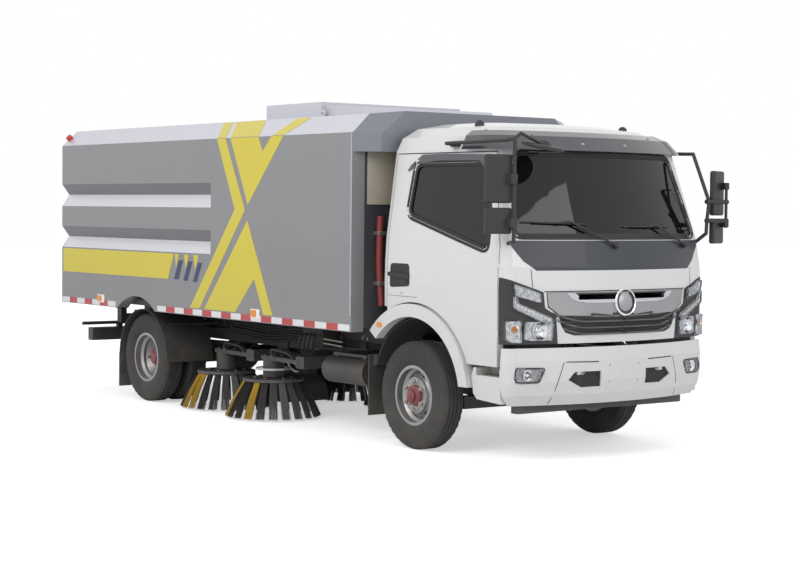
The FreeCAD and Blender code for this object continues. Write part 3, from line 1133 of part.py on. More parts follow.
def brush_hangers():
    """Outriggers on the rails, each with two lugs and the upright pin that an arm swings on."""
    pieces = []
    z0, z1 = MOTOR_Z1 - 2 - LUG_GAP, MOTOR_Z1 + ARM_T + LUG_GAP
    for _, x, y in BRUSHES:
        xp, yp = x + ARM_REACH, y + ARM_OFFSET
        ahead = xp + ARM_EYE_R + 10
        pad = box(xp - 40, ahead + 60, WEB_Y, WEB_Y + 14, 440, 700)
        beam = box(ahead, ahead + 60, WEB_Y, yp + ARM_EYE_R, z0 - LUG_T, z1 + LUG_T)
        lugs = [Part.makeCylinder(ARM_EYE_R, LUG_T, V(xp, yp, z)) for z in (z0 - LUG_T, z1)]
        webs = [box(xp, ahead + 1, yp - ARM_EYE_R, yp + ARM_EYE_R, z, z + LUG_T) for z in (z0 - LUG_T, z1)]
        pin = Part.makeCylinder(ARM_PIN_R, z1 - z0 + 2 * LUG_T + 12, V(xp, yp, z0 - LUG_T - 6))
        pieces += both_sides(pad.fuse([beam, pin] + lugs + webs))
    return pieces


NOZZLE = (AXLE_F - 3300, AXLE_F - 2740, 235.0, 40.0, 250.0)
PIPE_X, PIPE_Y, PIPE_R = AXLE_F - 3000.0, 180.0, 88.0
PIPE_T = 6.0
PIPE_Z0 = 420.0


def nozzle():
    """The suction nozzle: an open-bottomed hood with a spigot that slides in the fixed pipe."""
    x0, x1, y, z0, z1 = NOZZLE
    hood = prism([(x0, z0), (x1, z0), (x1 - 60, z1 - 60), (x1 - 160, z1), (x0 + 160, z1),
                  (x0 + 60, z1 - 60)], "y", -y, y)
    hollow = prism([(x0 + 14, z0 - 1), (x1 - 14, z0 - 1), (x1 - 72, z1 - 72), (x1 - 166, z1 - 12),
                    (x0 + 166, z1 - 12),
                    (x0 + 72, z1 - 72)], "y", -y + 12, y - 12)
    spigot_r = PIPE_R - PIPE_T - 1
    spigot = Part.makeCylinder(spigot_r, 340, V(PIPE_X, PIPE_Y, z1 - 30))
    bore = Part.makeCylinder(spigot_r - 5, 360, V(PIPE_X, PIPE_Y, z1 - 40))
    write("nozzle", hood.cut(hollow).fuse(spigot).cut(bore))
    pipe = Part.makeCylinder(PIPE_R, FLOOR_Z0 - FIT_GAP - PIPE_Z0, V(PIPE_X, PIPE_Y, PIPE_Z0))
    core = Part.makeCylinder(PIPE_R - PIPE_T, FLOOR_Z0 - PIPE_Z0 + 10, V(PIPE_X, PIPE_Y, PIPE_Z0 - 1))
    stay = box(PIPE_X - 30, PIPE_X + 30, PIPE_Y + PIPE_R - 4, WEB_Y - RAIL_T, 640, 680)
    return pipe.fuse(stay).cut(core)


def main():
    os.makedirs("parts", exist_ok=True)
    cross = frame()
    shaft = drive_line()
    front_axle()
    tie_rod()
    rear_axle(shaft)
    springs()
    for name, side in SIDES:
        knuckle("knuckle_" + name, side)
        front_wheel("front_" + name, side)
        rear_wheel("rear_" + name, side)
        cab_door(name, side)
        box_side(name, side)
    mirrors()
    cab()
    fenders()
    visor()
    interior()
    steering_wheel()
    underrun, fog_lamps = bumper()
    write("cross_members", cross + [underrun])
    steps()
    write("mudguards", front_liners() + rear_mudguards())
    write("chassis_lamps", fog_lamps + rear_bumper())
    side_equipment()
    box_body()
    fairing()
    roof_hood()
    rear_door()
    cylinder_mount = tip_cylinder()
    for place, x, y in BRUSHES:
        for name, side in SIDES:
            brush(f"brush_{place}_{name}", x, y, side)
            brush_arm(f"brush_arm_{place}_{name}", x, y, side)
    suction_pipe = nozzle()
    write("brackets", tip_brackets() + [cylinder_mount] + brush_hangers() + cab_pivots())
    write("suction_pipe", suction_pipe)


main()
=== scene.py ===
import math
import random

import bmesh
import bpy
from mathutils import Matrix, Vector, bvhtree, geometry


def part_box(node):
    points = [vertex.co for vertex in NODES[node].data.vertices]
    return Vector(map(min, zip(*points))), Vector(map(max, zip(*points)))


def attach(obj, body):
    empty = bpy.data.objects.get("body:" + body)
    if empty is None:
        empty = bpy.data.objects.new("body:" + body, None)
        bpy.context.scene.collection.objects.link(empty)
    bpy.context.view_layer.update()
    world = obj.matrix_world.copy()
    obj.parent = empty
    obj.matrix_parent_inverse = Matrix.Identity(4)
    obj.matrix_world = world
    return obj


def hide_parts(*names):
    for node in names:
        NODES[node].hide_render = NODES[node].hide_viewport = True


# A light street sweeper truck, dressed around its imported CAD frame. Metres, +X forward, +Y to the
# truck's left, +Z up, the ground at z = 0.
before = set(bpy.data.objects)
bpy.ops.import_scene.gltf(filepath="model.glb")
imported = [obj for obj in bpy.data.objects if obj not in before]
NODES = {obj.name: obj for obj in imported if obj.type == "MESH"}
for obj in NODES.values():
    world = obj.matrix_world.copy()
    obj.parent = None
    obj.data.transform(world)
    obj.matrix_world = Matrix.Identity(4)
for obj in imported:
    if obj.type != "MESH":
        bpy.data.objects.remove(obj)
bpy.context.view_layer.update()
scene = bpy.context.scene
scene.view_settings.view_transform = "Standard"

# The viewpoint: a long lens at chest height, off the truck's right front corner.
eye = Vector((12.070, -8.663, 1.716))
heading, tilt, lean = 2.49579, -0.0433, 0.01033
sight = Vector((math.cos(tilt) * math.cos(heading), math.cos(tilt) * math.sin(heading), math.sin(tilt)))
level = Vector((math.sin(heading), -math.cos(heading), 0))
rise = level.cross(sight)
across = math.cos(lean) * level + math.sin(lean) * rise
upward = math.cos(lean) * rise - math.sin(lean) * level
lens = bpy.data.cameras.new("view")
FOCAL_PIXELS, PICTURE_PIXELS = 1783.5, 795
lens.lens = FOCAL_PIXELS * lens.sensor_width / PICTURE_PIXELS
camera = bpy.data.objects.new("view", lens)
camera.matrix_world = Matrix.Translation(eye) @ Matrix((across, upward, -sight)).transposed().to_4x4()
scene.collection.objects.link(camera)
scene.camera = camera

# The studio: an even white surround, one big soft lamp over the near corner, a pale floor that
# looks white to the eye and to reflections but still takes the truck's soft shadow.
world = bpy.data.worlds.new("surround")
scene.world = world
world.use_nodes = True
wn, wl = world.node_tree.nodes, world.node_tree.links
wn.clear()
paths = wn.new("ShaderNodeLightPath")
seen, seen_white = wn.new("ShaderNodeMath"), wn.new("ShaderNodeMath")
seen.operation = seen_white.operation = "MAXIMUM"
wl.new(paths.outputs["Is Camera Ray"], seen.inputs[0])
wl.new(paths.outputs["Is Transmission Ray"], seen.inputs[1])
wl.new(seen.outputs[0], seen_white.inputs[0])
wl.new(paths.outputs["Is Glossy Ray"], seen_white.inputs[1])
sky, white = wn.new("ShaderNodeBackground"), wn.new("ShaderNodeBackground")
sky.inputs["Color"].default_value = (0.93, 0.95, 1.0, 1)
sky.inputs["Strength"].default_value = 0.72
white.inputs["Color"].default_value = (1, 1, 1, 1)
pick = wn.new("ShaderNodeMixShader")
wl.new(seen_white.outputs[0], pick.inputs[0])
wl.new(sky.outputs[0], pick.inputs[1])
wl.new(white.outputs[0], pick.inputs[2])
wl.new(pick.outputs[0], wn.new("ShaderNodeOutputWorld").inputs[0])


def soft_lamp(name, place, target, size, power, colour):
    """A square studio lamp that faces a point."""
    light = bpy.data.lights.new(name, "AREA")
    light.size, light.energy, light.color = size, power, colour
    lamp = bpy.data.objects.new(name, light)
    lamp.location = place
    lamp.rotation_euler = (Vector(target) - Vector(place)).to_track_quat("-Z", "Y").to_euler()
    scene.collection.objects.link(lamp)


soft_lamp("key", (4.5, -11.0, 9.0), (0.5, 0, 1.2), 7.0, 620, (1.0, 0.98, 0.95))
soft_lamp("front", (12.5, 2.5, 5.0), (2.5, 0, 1.3), 5.0, 190, (1.0, 0.99, 0.98))

floor_mesh = bpy.data.meshes.new("floor")
FLOOR_HALF = 60
floor_mesh.from_pydata([(-FLOOR_HALF, -FLOOR_HALF, 0), (FLOOR_HALF, -FLOOR_HALF, 0),
                        (FLOOR_HALF, FLOOR_HALF, 0), (-FLOOR_HALF, FLOOR_HALF, 0)], [], [(0, 1, 2, 3)])
floor = bpy.data.objects.new("floor", floor_mesh)
scene.collection.objects.link(floor)
floor_finish = bpy.data.materials.new("pale_floor")
floor_finish.use_nodes = True
fn, fl = floor_finish.node_tree.nodes, floor_finish.node_tree.links
floor_shader = fn["Principled BSDF"].inputs
floor_shader["Base Color"].default_value = (0.93, 0.93, 0.93, 1)
floor_shader["Roughness"].default_value = 0.95
floor_shader["Specular IOR Level"].default_value = 0.1
floor_shader["Emission Color"].default_value = (1, 1, 1, 1)
look = fn.new("ShaderNodeLightPath")
glow = fn.new("ShaderNodeMath")
glow.operation = "MULTIPLY"
glow.inputs[1].default_value = 0.5
fl.new(look.outputs["Is Camera Ray"], glow.inputs[0])
fl.new(glow.outputs[0], floor_shader["Emission Strength"])
floor_mesh.materials.append(floor_finish)

# The chassis: pressed channel rails with bolted cross members, the box's subframe, brackets and the
# rear bar. Cut and welded steel, sprayed satin black, with road dust low down and rubbed edges.
def node_group(name, inputs, outputs):
    """An empty shader group with its named sockets, and its two end nodes."""
    group = bpy.data.node_groups.new(name, "ShaderNodeTree")
    for label, kind, value in inputs:
        socket = group.interface.new_socket(name=label, in_out="INPUT", socket_type=kind)
        socket.default_value = value
    for label, kind in outputs:
        group.interface.new_socket(name=label, in_out="OUTPUT", socket_type=kind)
    return group, group.nodes.new("NodeGroupInput"), group.nodes.new("NodeGroupOutput")


def math_node(nodes, links, operation, *values, clamp=False):
    """A Math node with its inputs linked or set, and its result."""
    node = nodes.new("ShaderNodeMath")
    node.operation, node.use_clamp = operation, clamp
    for slot, value in zip(node.inputs, values):
        if isinstance(value, (int, float)):
            slot.default_value = value
        else:
            links.new(value, slot)
    return node.outputs[0]


def noise_node(nodes, links, place, scale, detail=3.0, roughness=0.6):
    """A Noise node in object space, and its value."""
    node = nodes.new("ShaderNodeTexNoise")
    links.new(place, node.inputs["Vector"])
    node.inputs["Detail"].default_value = detail
    node.inputs["Roughness"].default_value = roughness
    if isinstance(scale, (int, float)):
        node.inputs["Scale"].default_value = scale
    else:
        links.new(scale, node.inputs["Scale"])
    return node.outputs["Fac"]


def mix_colours(nodes, links, factor, a, b):
    """A colour between a and b, each a socket or a plain colour."""
    node = nodes.new("ShaderNodeMix")
    node.data_type = "RGBA"
    for slot, value in ((node.inputs[0], factor), (node.inputs[6], a), (node.inputs[7], b)):
        if isinstance(value, bpy.types.NodeSocket):
            links.new(value, slot)
        else:
            slot.default_value = value
    return node.outputs[2]


# Dust thrown up from the road: thick below Low, gone above High, in uneven patches.
dust_group, d_in, d_out = node_group(
    "road_dust",
    [("Finish", "NodeSocketColor", (0.5, 0.5, 0.5, 1)), ("Dust", "NodeSocketColor", (0.30, 0.27, 0.23, 1)),
     ("Low", "NodeSocketFloat", 0.2), ("High", "NodeSocketFloat", 0.9), ("Amount", "NodeSocketFloat", 0.5)],
    [("Color", "NodeSocketColor"), ("Mask", "NodeSocketFloat")])
n, l = dust_group.nodes, dust_group.links
place = n.new("ShaderNodeTexCoord").outputs["Object"]
apart = n.new("ShaderNodeSeparateXYZ")
l.new(place, apart.inputs[0])
depth = n.new("ShaderNodeMapRange")
l.new(apart.outputs["Z"], depth.inputs["Value"])
l.new(d_in.outputs["Low"], depth.inputs["From Max"])
l.new(d_in.outputs["High"], depth.inputs["From Min"])
patches = noise_node(n, l, place, 6.0, 6.0, 0.65)
specks = noise_node(n, l, place, 90.0, 2.0, 0.5)
grime = math_node(n, l, "MULTIPLY_ADD", patches, 1.1, 0.05)
grime = math_node(n, l, "MULTIPLY", grime, math_node(n, l, "MULTIPLY_ADD", specks, 0.8, 0.5))
film = math_node(n, l, "MULTIPLY_ADD", depth.outputs["Result"], 0.92, 0.08)
mask = math_node(n, l, "MULTIPLY", math_node(n, l, "MULTIPLY", grime, film), d_in.outputs["Amount"],
                 clamp=True)
l.new(mix_colours(n, l, mask, d_in.outputs["Finish"], d_in.outputs["Dust"]), d_out.inputs["Color"])
l.new(mask, d_out.inputs["Mask"])

# Paint rubbed off along edges: where a rounded-off normal leaves the true one.
wear_group, w_in, w_out = node_group(
    "edge_wear", [("Width", "NodeSocketFloat", 0.004), ("Amount", "NodeSocketFloat", 0.6)],
    [("Mask", "NodeSocketFloat")])
n, l = wear_group.nodes, wear_group.links
soft_edge = n.new("ShaderNodeBevel")
soft_edge.samples = 4
l.new(w_in.outputs["Width"], soft_edge.inputs["Radius"])
turn = n.new("ShaderNodeVectorMath")
turn.operation = "DOT_PRODUCT"
l.new(soft_edge.outputs[0], turn.inputs[0])
l.new(n.new("ShaderNodeNewGeometry").outputs["Normal"], turn.inputs[1])
bend = math_node(n, l, "SUBTRACT", 1.0, turn.outputs["Value"])
chips = noise_node(n, l, n.new("ShaderNodeTexCoord").outputs["Object"], 60.0, 5.0, 0.7)
rub = math_node(n, l, "MULTIPLY", math_node(n, l, "MULTIPLY", bend, 5.0),
                math_node(n, l, "MULTIPLY", chips, 1.6))
l.new(math_node(n, l, "MULTIPLY", rub, w_in.outputs["Amount"], clamp=True), w_out.inputs["Mask"])

# Surface grain for bumps: fine pits over slow waves. And the slight unevenness of a colour.
grain_group, g_in, g_out = node_group(
    "grain", [("Fine", "NodeSocketFloat", 900.0), ("Waves", "NodeSocketFloat", 30.0),
              ("Share", "NodeSocketFloat", 0.3)],
    [("Height", "NodeSocketFloat")])
n, l = grain_group.nodes, grain_group.links
place = n.new("ShaderNodeTexCoord").outputs["Object"]
fine = noise_node(n, l, place, g_in.outputs["Fine"], 2.0, 0.5)
waves = noise_node(n, l, place, g_in.outputs["Waves"], 2.0, 0.5)
l.new(math_node(n, l, "ADD", fine, math_node(n, l, "MULTIPLY", waves, g_in.outputs["Share"])),
      g_out.inputs["Height"])

mottle_group, m_in, m_out = node_group(
    "mottle", [("Colour", "NodeSocketColor", (0.5, 0.5, 0.5, 1)), ("Scale", "NodeSocketFloat", 4.0),
               ("Spread", "NodeSocketFloat", 0.1)], [("Color", "NodeSocketColor")])
n, l = mottle_group.nodes, mottle_group.links
cloud = noise_node(n, l, n.new("ShaderNodeTexCoord").outputs["Object"], m_in.outputs["Scale"], 5.0, 0.6)
shift = math_node(n, l, "MULTIPLY_ADD", math_node(n, l, "SUBTRACT", cloud, 0.5), m_in.outputs["Spread"], 1.0)
shade = n.new("ShaderNodeVectorMath")
shade.operation = "SCALE"
l.new(m_in.outputs["Colour"], shade.inputs[0])
l.new(shift, shade.inputs["Scale"])
l.new(shade.outputs[0], m_out.inputs["Color"])


def placed_group(nodes, group, **values):
    """A shader group in a material, with its own values."""
    node = nodes.new("ShaderNodeGroup")
    node.node_tree = group
    for label, value in values.items():
        node.inputs[label].default_value = value
    return node


def finish_of(name, slot, colour, rough, metal=0.0, coat=0.0, dust=None, wear=None,
              grain=(700.0, 40.0, 0.3, 0.06),
              mottle=(5.0, 0.25), specular=0.5, painted=None):
    """A finish: mottled colour, dust low down, rubbed edges and grain, each where it is asked for.
    painted(nodes, links) may give the colour as a socket instead of one plain colour."""
    made = bpy.data.materials.new(name)
    made["slot"] = slot
    made.use_nodes = True
    nodes, links = made.node_tree.nodes, made.node_tree.links
    shader = nodes["Principled BSDF"]
    shader.inputs["Metallic"].default_value = metal
    shader.inputs["Coat Weight"].default_value = coat
    shader.inputs["Coat Roughness"].default_value = 0.04
    shader.inputs["Specular IOR Level"].default_value = specular
    uneven = placed_group(nodes, mottle_group, Colour=(*colour, 1), Scale=mottle[0], Spread=mottle[1])
    if painted:
        links.new(painted(nodes, links), uneven.inputs["Colour"])
    last, rough_now = uneven.outputs["Color"], rough
    if wear:
        rubbed = placed_group(nodes, wear_group, Width=wear[0], Amount=wear[1])
        last = mix_colours(nodes, links, rubbed.outputs["Mask"], last, (*wear[2], 1))
    if dust:
        cover = placed_group(nodes, dust_group, Low=dust[0], High=dust[1], Amount=dust[2])
        if len(dust) > 3:
            cover.inputs["Dust"].default_value = (*dust[3], 1)
        links.new(last, cover.inputs["Finish"])
        last = cover.outputs["Color"]
        rough_now = math_node(nodes, links, "MULTIPLY_ADD", cover.outputs["Mask"], 0.9 - rough, rough)
        links.new(rough_now, shader.inputs["Roughness"])
    else:
        shader.inputs["Roughness"].default_value = rough
    links.new(last, shader.inputs["Base Color"])
    pits = placed_group(nodes, grain_group, Fine=grain[0], Waves=grain[1], Share=grain[2])
    bump = nodes.new("ShaderNodeBump")
    bump.inputs["Strength"].default_value = grain[3]
    bump.inputs["Distance"].default_value = 0.002
    links.new(pits.outputs["Height"], bump.inputs["Height"])
    links.new(bump.outputs["Normal"], shader.inputs["Normal"])
    return made


def dress(material, *names):
    """The finish of CAD nodes whose shape is right as it is."""
    for name in names:
        slots = NODES[name].data.materials
        for i in range(len(slots)):
            slots[i] = material


def lists_of(shape):
    """A bmesh as plain points and faces."""
    shape.verts.index_update()
    points = [v.co.copy() for v in shape.verts]
    faces = [[v.index for v in f.verts] for f in shape.faces]
    shape.free()
    return points, faces


def slab(low, high, chamfer=0.003, steps=2):
    """A block between two corners, its edges eased."""
    shape = bmesh.new()
    bmesh.ops.create_cube(shape, size=1.0)
    for vert in shape.verts:
        vert.co = Vector([low[i] if vert.co[i] < 0 else high[i] for i in range(3)])
    if chamfer:
        bmesh.ops.bevel(shape, geom=shape.edges[:], offset=chamfer, segments=steps, affect="EDGES",
                        profile=0.5)
    return lists_of(shape)


def turned(profile, start, axis, steps=32, ring=False):
    """An outline of (distance along, radius) turned about an axis. A ring's outline closes on itself."""
    axis = Vector(axis).normalized()
    side = Vector((0, 0, 1)) if abs(axis.z) < 0.9 else Vector((1, 0, 0))
    side = (side - axis * side.dot(axis)).normalized()
    up = axis.cross(side)
    points, faces = [], []
    for along, radius in profile:
        for i in range(steps):
            a = 2 * math.pi * i / steps
            points.append(Vector(start) + axis * along + (side * math.cos(a) + up * math.sin(a)) * radius)
    rows = len(profile)
    for k in range(rows if ring else rows - 1):
        for i in range(steps):
            j, m = (i + 1) % steps, (k + 1) % rows
            faces.append([k * steps + i, k * steps + j, m * steps + j, m * steps + i])
    if not ring:
        faces += [list(range(steps))[::-1], [(rows - 1) * steps + i for i in range(steps)]]
    return points, faces


def bar(route, radius, bend=0.0, sides=10):
    """A round bar or rigid pipe along straight runs, with its bends taken at a radius."""
    route = [Vector(p) for p in route]
    path = [route[0]]
    for before, corner, after in zip(route, route[1:], route[2:]):
        a, b = before - corner, after - corner
        cut = min(bend, a.length * 0.45, b.length * 0.45)
        if cut <= 0:
            path.append(corner)
            continue
        first, last = corner + a.normalized() * cut, corner + b.normalized() * cut
        path += [first * (1 - t) ** 2 + corner * 2 * t * (1 - t) + last * t * t
                 for t in (0, 0.25, 0.5, 0.75, 1)]
    path.append(route[-1])
    points, faces, across = [], [], None
    for i, point in enumerate(path):
        run = (path[min(i + 1, len(path) - 1)] - path[max(i - 1, 0)]).normalized()
        across = run.orthogonal() if across is None else across - run * across.dot(run)
        across.normalize()
        up = run.cross(across)
        for k in range(sides):
            a = 2 * math.pi * k / sides
            points.append(point + (across * math.cos(a) + up * math.sin(a)) * radius)
    for i in range(len(path) - 1):
        for k in range(sides):
            j = (k + 1) % sides
            faces.append([i * sides + k, i * sides + j, (i + 1) * sides + j, (i + 1) * sides + k])
    faces += [list(range(sides))[::-1], [(len(path) - 1) * sides + k for k in range(sides)]]
    return points, faces


def bolt(place, axis, radius=0.010, height=0.008):
    """A hexagon head on its washer."""
    washer = turned([(0, radius * 1.35), (height * 0.25, radius * 1.35)], place, axis, 16)
    head = turned([(height * 0.2, radius), (height * 0.9, radius), (height, radius * 0.85)], place, axis, 6)
    return joined(washer, head)


def joined(*parts):
    """Some parts as one list of points and one of faces."""
    points, faces = [], []
    for more_points, more_faces in parts:
        faces += [[i + len(points) for i in face] for face in more_faces]
        points += more_points
    return points, faces


def mirrored(part):
    """The part and its twin on the truck's other side."""
    points, faces = part
    return joined(part, ([Vector((p[0], -p[1], p[2])) for p in points], [face[::-1] for face in faces]))


def piece(name, body, material, *parts, crease=35):
    """One mesh piece that rides on a body."""
    points, faces = joined(*parts)
    mesh = bpy.data.meshes.new(name)
    mesh.from_pydata(points, [], faces)
    mesh.shade_smooth()
    mesh.set_sharp_from_angle(angle=math.radians(crease))
    mesh.materials.append(material)
    made = bpy.data.objects.new(name, mesh)
    scene.collection.objects.link(made)
    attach(made, body)
    return made


BARE_STEEL = (0.34, 0.33, 0.32)
X0 = sum(corner[0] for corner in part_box("tyre_front_right")) / 2   # the front axle's place
chassis_paint = finish_of("chassis_paint", "chassis_black", (0.018, 0.018, 0.02), 0.42,
                          dust=(0.15, 1.0, 0.55),
                          wear=(0.004, 0.5, BARE_STEEL), grain=(240.0, 30.0, 0.6, 0.25))
dress(chassis_paint, "frame_rails", "cross_members", "subframe", "brackets", "rear_bumper", "suction_pipe",
      "brush_arm_front_left", "brush_arm_front_right", "brush_arm_rear_left", "brush_arm_rear_right",
      "nozzle",
      "front_axle", "rear_axle", "side_tanks", "tip_barrel")
zinc = finish_of("zinc", "chrome_rod", (0.50, 0.48, 0.42), 0.35, metal=0.9, dust=(0.1, 0.9, 0.5),
                 grain=(600.0, 60.0, 0.4, 0.1))
(_, _, rail_low), (_, rail_y, rail_high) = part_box("frame_rails")
CROSS_MEMBERS = (0.865, -0.48, -1.33, -2.395, -3.9, -4.42, -5.04)
bolts = []
for x in CROSS_MEMBERS:
    for dx in (-0.03, 0.03):
        for z in (rail_low + 0.07, rail_high - 0.035):
            bolts.append(bolt((X0 + x + dx, rail_y, z), (0, 1, 0)))
for x in range(14):
    bolts.append(bolt((X0 - 1.05 - 0.30 * x, rail_y, rail_high - 0.02), (0, 1, 0), 0.007, 0.006))
piece("rail_bolts", "chassis", zinc, mirrored(joined(*bolts)))

# Air pipes and the wiring loom: nylon pipe and ribbed conduit in steel clips along the outside of the
# rails, under the box. Black plastic.
loom_black = finish_of("loom_black", "black_plastic", (0.02, 0.02, 0.021), 0.5, dust=(0.2, 1.1, 0.5),
                       grain=(400.0, 500.0, 0.8, 0.3))
loom = []
for y, z, radius in ((0.016, 0.055, 0.011), (0.012, 0.082, 0.006), (0.012, 0.098, 0.006)):
    loom.append(bar([(X0 - 0.62, rail_y + y, rail_low + z + 0.01), (X0 - 2.9, rail_y + y, rail_low + z),
                     (X0 - 3.2, rail_y + y, rail_low + z + 0.04),
                     (X0 - 4.9, rail_y + y, rail_low + z + 0.04)],
                    radius, 0.1))
for x in range(9):
    low = X0 - 0.8 - 0.5 * x
    lift = 0.04 if low < X0 - 3.1 else 0.005
    loom.append(slab((low, rail_y, rail_low + 0.035 + lift),
                     (low + 0.022, rail_y + 0.030, rail_low + 0.11 + lift), 0.004))
piece("frame_loom", "chassis", loom_black, mirrored(joined(*loom)))

# Engine, gearbox and steering knuckles: grey iron and aluminium castings, rough and dusty.
cast_iron = finish_of("cast_iron", "engine_grey", (0.10, 0.10, 0.105), 0.6, dust=(0.2, 0.9, 0.7),
                      wear=(0.006, 0.4, BARE_STEEL), grain=(150.0, 20.0, 0.8, 0.6))
dress(cast_iron, "engine", "knuckle_left", "knuckle_right")
engine_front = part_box("engine")[1][0]
ribs = []
for i in range(9):
    x = engine_front - 0.14 - 0.072 * i
    ribs.append(slab((x, -0.296, 0.50), (x + 0.014, -0.286, 0.88), 0.003))
    ribs.append(bolt((x + 0.036, -0.29, 0.455), (0, -1, 0), 0.008, 0.008))
piece("engine_ribs", "chassis", cast_iron, mirrored(joined(*ribs)))

# Leaf springs and tie rod: dark tempered steel, rusting a little at the edges, held by U-bolts.
spring_steel = finish_of("spring_steel", "spring_steel", (0.05, 0.05, 0.055), 0.5, metal=0.4,
                         dust=(0.2, 0.8, 0.7),
                         wear=(0.003, 0.8, (0.20, 0.12, 0.07)), grain=(300.0, 30.0, 0.5, 0.3))
dress(spring_steel, "leaf_springs", "tie_rod")
hard_chrome = finish_of("hard_chrome", "chrome_rod", (0.72, 0.73, 0.75), 0.12, metal=1.0,
                        grain=(900.0, 60.0, 0.2, 0.02))
dress(hard_chrome, "tip_rod")

# Tyres: radial road tyres of black rubber, moulded with four ribs, notched shoulders and thin rings on the
# sidewalls. Each is pressed onto its rim and turns with it.
tyre_rubber = finish_of("tyre_rubber", "tyre_rubber", (0.016, 0.016, 0.017), 0.72, dust=(0.0, 0.9, 0.35),
                        grain=(500.0, 60.0, 0.4, 0.2))
TYRE_STEPS, NOTCH_DEPTH, SHOULDER_Y = 160, 0.007, 0.058


def tyre_mesh(middle, radius, half):
    """A tyre about a wheel's middle. Every fourth step of the shoulder is a notch."""
    outline = [(-0.070, 0.214), (-0.082, 0.222), (-0.090, 0.243), (-0.0915, 0.246), (-0.0925, 0.262),
               (-0.0945, 0.264), (-half, 0.290), (-half, 0.312), (-half + 0.0015, 0.314),
               (-half + 0.003, 0.330),
               (-half + 0.006, 0.348), (-half + 0.010, 0.363), (-half + 0.018, 0.376),
               (-half + 0.030, 0.3835)]
    tread = [(-0.058, 0.0), (-0.052, -0.009), (-0.046, -0.009), (-0.041, 0.0), (-0.022, 0.0008),
             (-0.018, -0.009),
             (-0.012, -0.009), (-0.008, 0.0008)]
    outline += [(y, radius + r) for y, r in tread]
    outline += [(-y, r) for y, r in reversed(outline)]
    points, faces = turned(outline, middle, (0, 1, 0), TYRE_STEPS, ring=True)
    centre = Vector(middle)
    for k, (y, r) in enumerate(outline):
        if radius - 0.03 < r and abs(y) > SHOULDER_Y:
            for i in range(TYRE_STEPS):
                if i % 4 == 0:
                    out = points[k * TYRE_STEPS + i] - centre
                    out.y = 0
                    points[k * TYRE_STEPS + i] -= out.normalized() * NOTCH_DEPTH
    return points, faces


TYRE_HALF = 0.095
for node, body, count in (("tyre_front_left", "wheel_front_left", 1),
                          ("tyre_front_right", "wheel_front_right", 1),
                          ("tyres_rear_left", "wheels_rear_left", 2),
                          ("tyres_rear_right", "wheels_rear_right", 2)):
    low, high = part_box(node)
    radius, x, half = (high[2] - low[2]) / 2, (low[0] + high[0]) / 2, TYRE_HALF
    places = [(x, low[1] + half, radius)] + ([(x, high[1] - half, radius)] if count == 2 else [])
    made = piece(node.replace("tyre", "road_tyre"), body, tyre_rubber,
                 *[tyre_mesh(p, radius - 0.0008, half - 0.0005) for p in places], crease=28)
    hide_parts(node)

# Rims: pressed steel discs welded into rolled rings and sprayed silver, with conical wheel nuts. The hub
# caps in the middle are painted dark red.
rim_silver = finish_of("rim_silver", "rim_silver", (0.40, 0.40, 0.41), 0.30, metal=0.8, dust=(0.0, 0.9, 0.55),
                       grain=(700.0, 60.0, 0.4, 0.08))
dress(rim_silver, "rim_front_left", "rim_front_right", "rims_rear_left", "rims_rear_right")
hub_red = finish_of("hub_red", "rim_silver", (0.20, 0.016, 0.022), 0.35, coat=0.3, dust=(0.0, 0.9, 0.4),
                    wear=(0.003, 0.4, (0.28, 0.20, 0.18)), grain=(500.0, 60.0, 0.4, 0.1))
FRONT_FACE, REAR_FACE = 0.865 + 0.052, 0.80     # how far out the discs' faces are
NUTS, NUT_CIRCLE, STUD_CIRCLE = 6, 0.1025, 0.060
for node, body in (("rim_front_left", "wheel_front_left"), ("rim_front_right", "wheel_front_right"),
                   ("rims_rear_left", "wheels_rear_left"), ("rims_rear_right", "wheels_rear_right")):
    low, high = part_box(node)
    sign = 1 if high[1] > 0 else -1
    x, z = (low[0] + high[0]) / 2, (low[2] + high[2]) / 2
    front = "front" in node
    face = sign * (FRONT_FACE if front else REAR_FACE)
    cap = [(0.0, 0.0745), (0.020, 0.0745), (0.026, 0.070), (0.030, 0.050), (0.034, 0.045), (0.052, 0.043),
           (0.0575, 0.034)] if front else [(0.0, 0.076), (0.100, 0.075), (0.112, 0.068), (0.118, 0.052),
                                           (0.128, 0.046)]
    studs = []
    for i in range(NUTS):
        a = math.radians(60 * i)
        studs.append(bolt((x + STUD_CIRCLE * math.cos(a), face + sign * (0.024 if front else 0.105),
                           z + STUD_CIRCLE * math.sin(a)), (0, sign, 0), 0.0055, 0.007))
    piece("hub_cap_" + node.split("_", 1)[1], body, hub_red,
          turned(cap, (x, face, z), (0, sign, 0), 40), *studs)
    nuts = []
    for i in range(NUTS):
        a = math.radians(60 * i + 30)
        place = (x + NUT_CIRCLE * math.cos(a), face + sign * (0.006 if front else 0.012),
                 z + NUT_CIRCLE * math.sin(a))
        nuts.append(turned([(0, 0.024), (0.004, 0.024), (0.007, 0.019)], place, (0, sign, 0), 24))
        nuts.append(turned([(0.005, 0.0175), (0.022, 0.0175), (0.026, 0.014)], place, (0, sign, 0), 6))
        nuts.append(turned([(0.02, 0.0105), (0.034, 0.0105), (0.036, 0.009)], place, (0, sign, 0), 16))
    piece("wheel_nuts_" + node.split("_", 1)[1], body, zinc, *nuts)

# Mudguards and flaps: moulded black rubber sheet on steel stays.
flap_rubber = finish_of("flap_rubber", "rubber", (0.02, 0.02, 0.021), 0.6, dust=(0.1, 1.0, 0.55),
                        grain=(350.0, 40.0, 0.5, 0.3))
dress(flap_rubber, "mudguards")

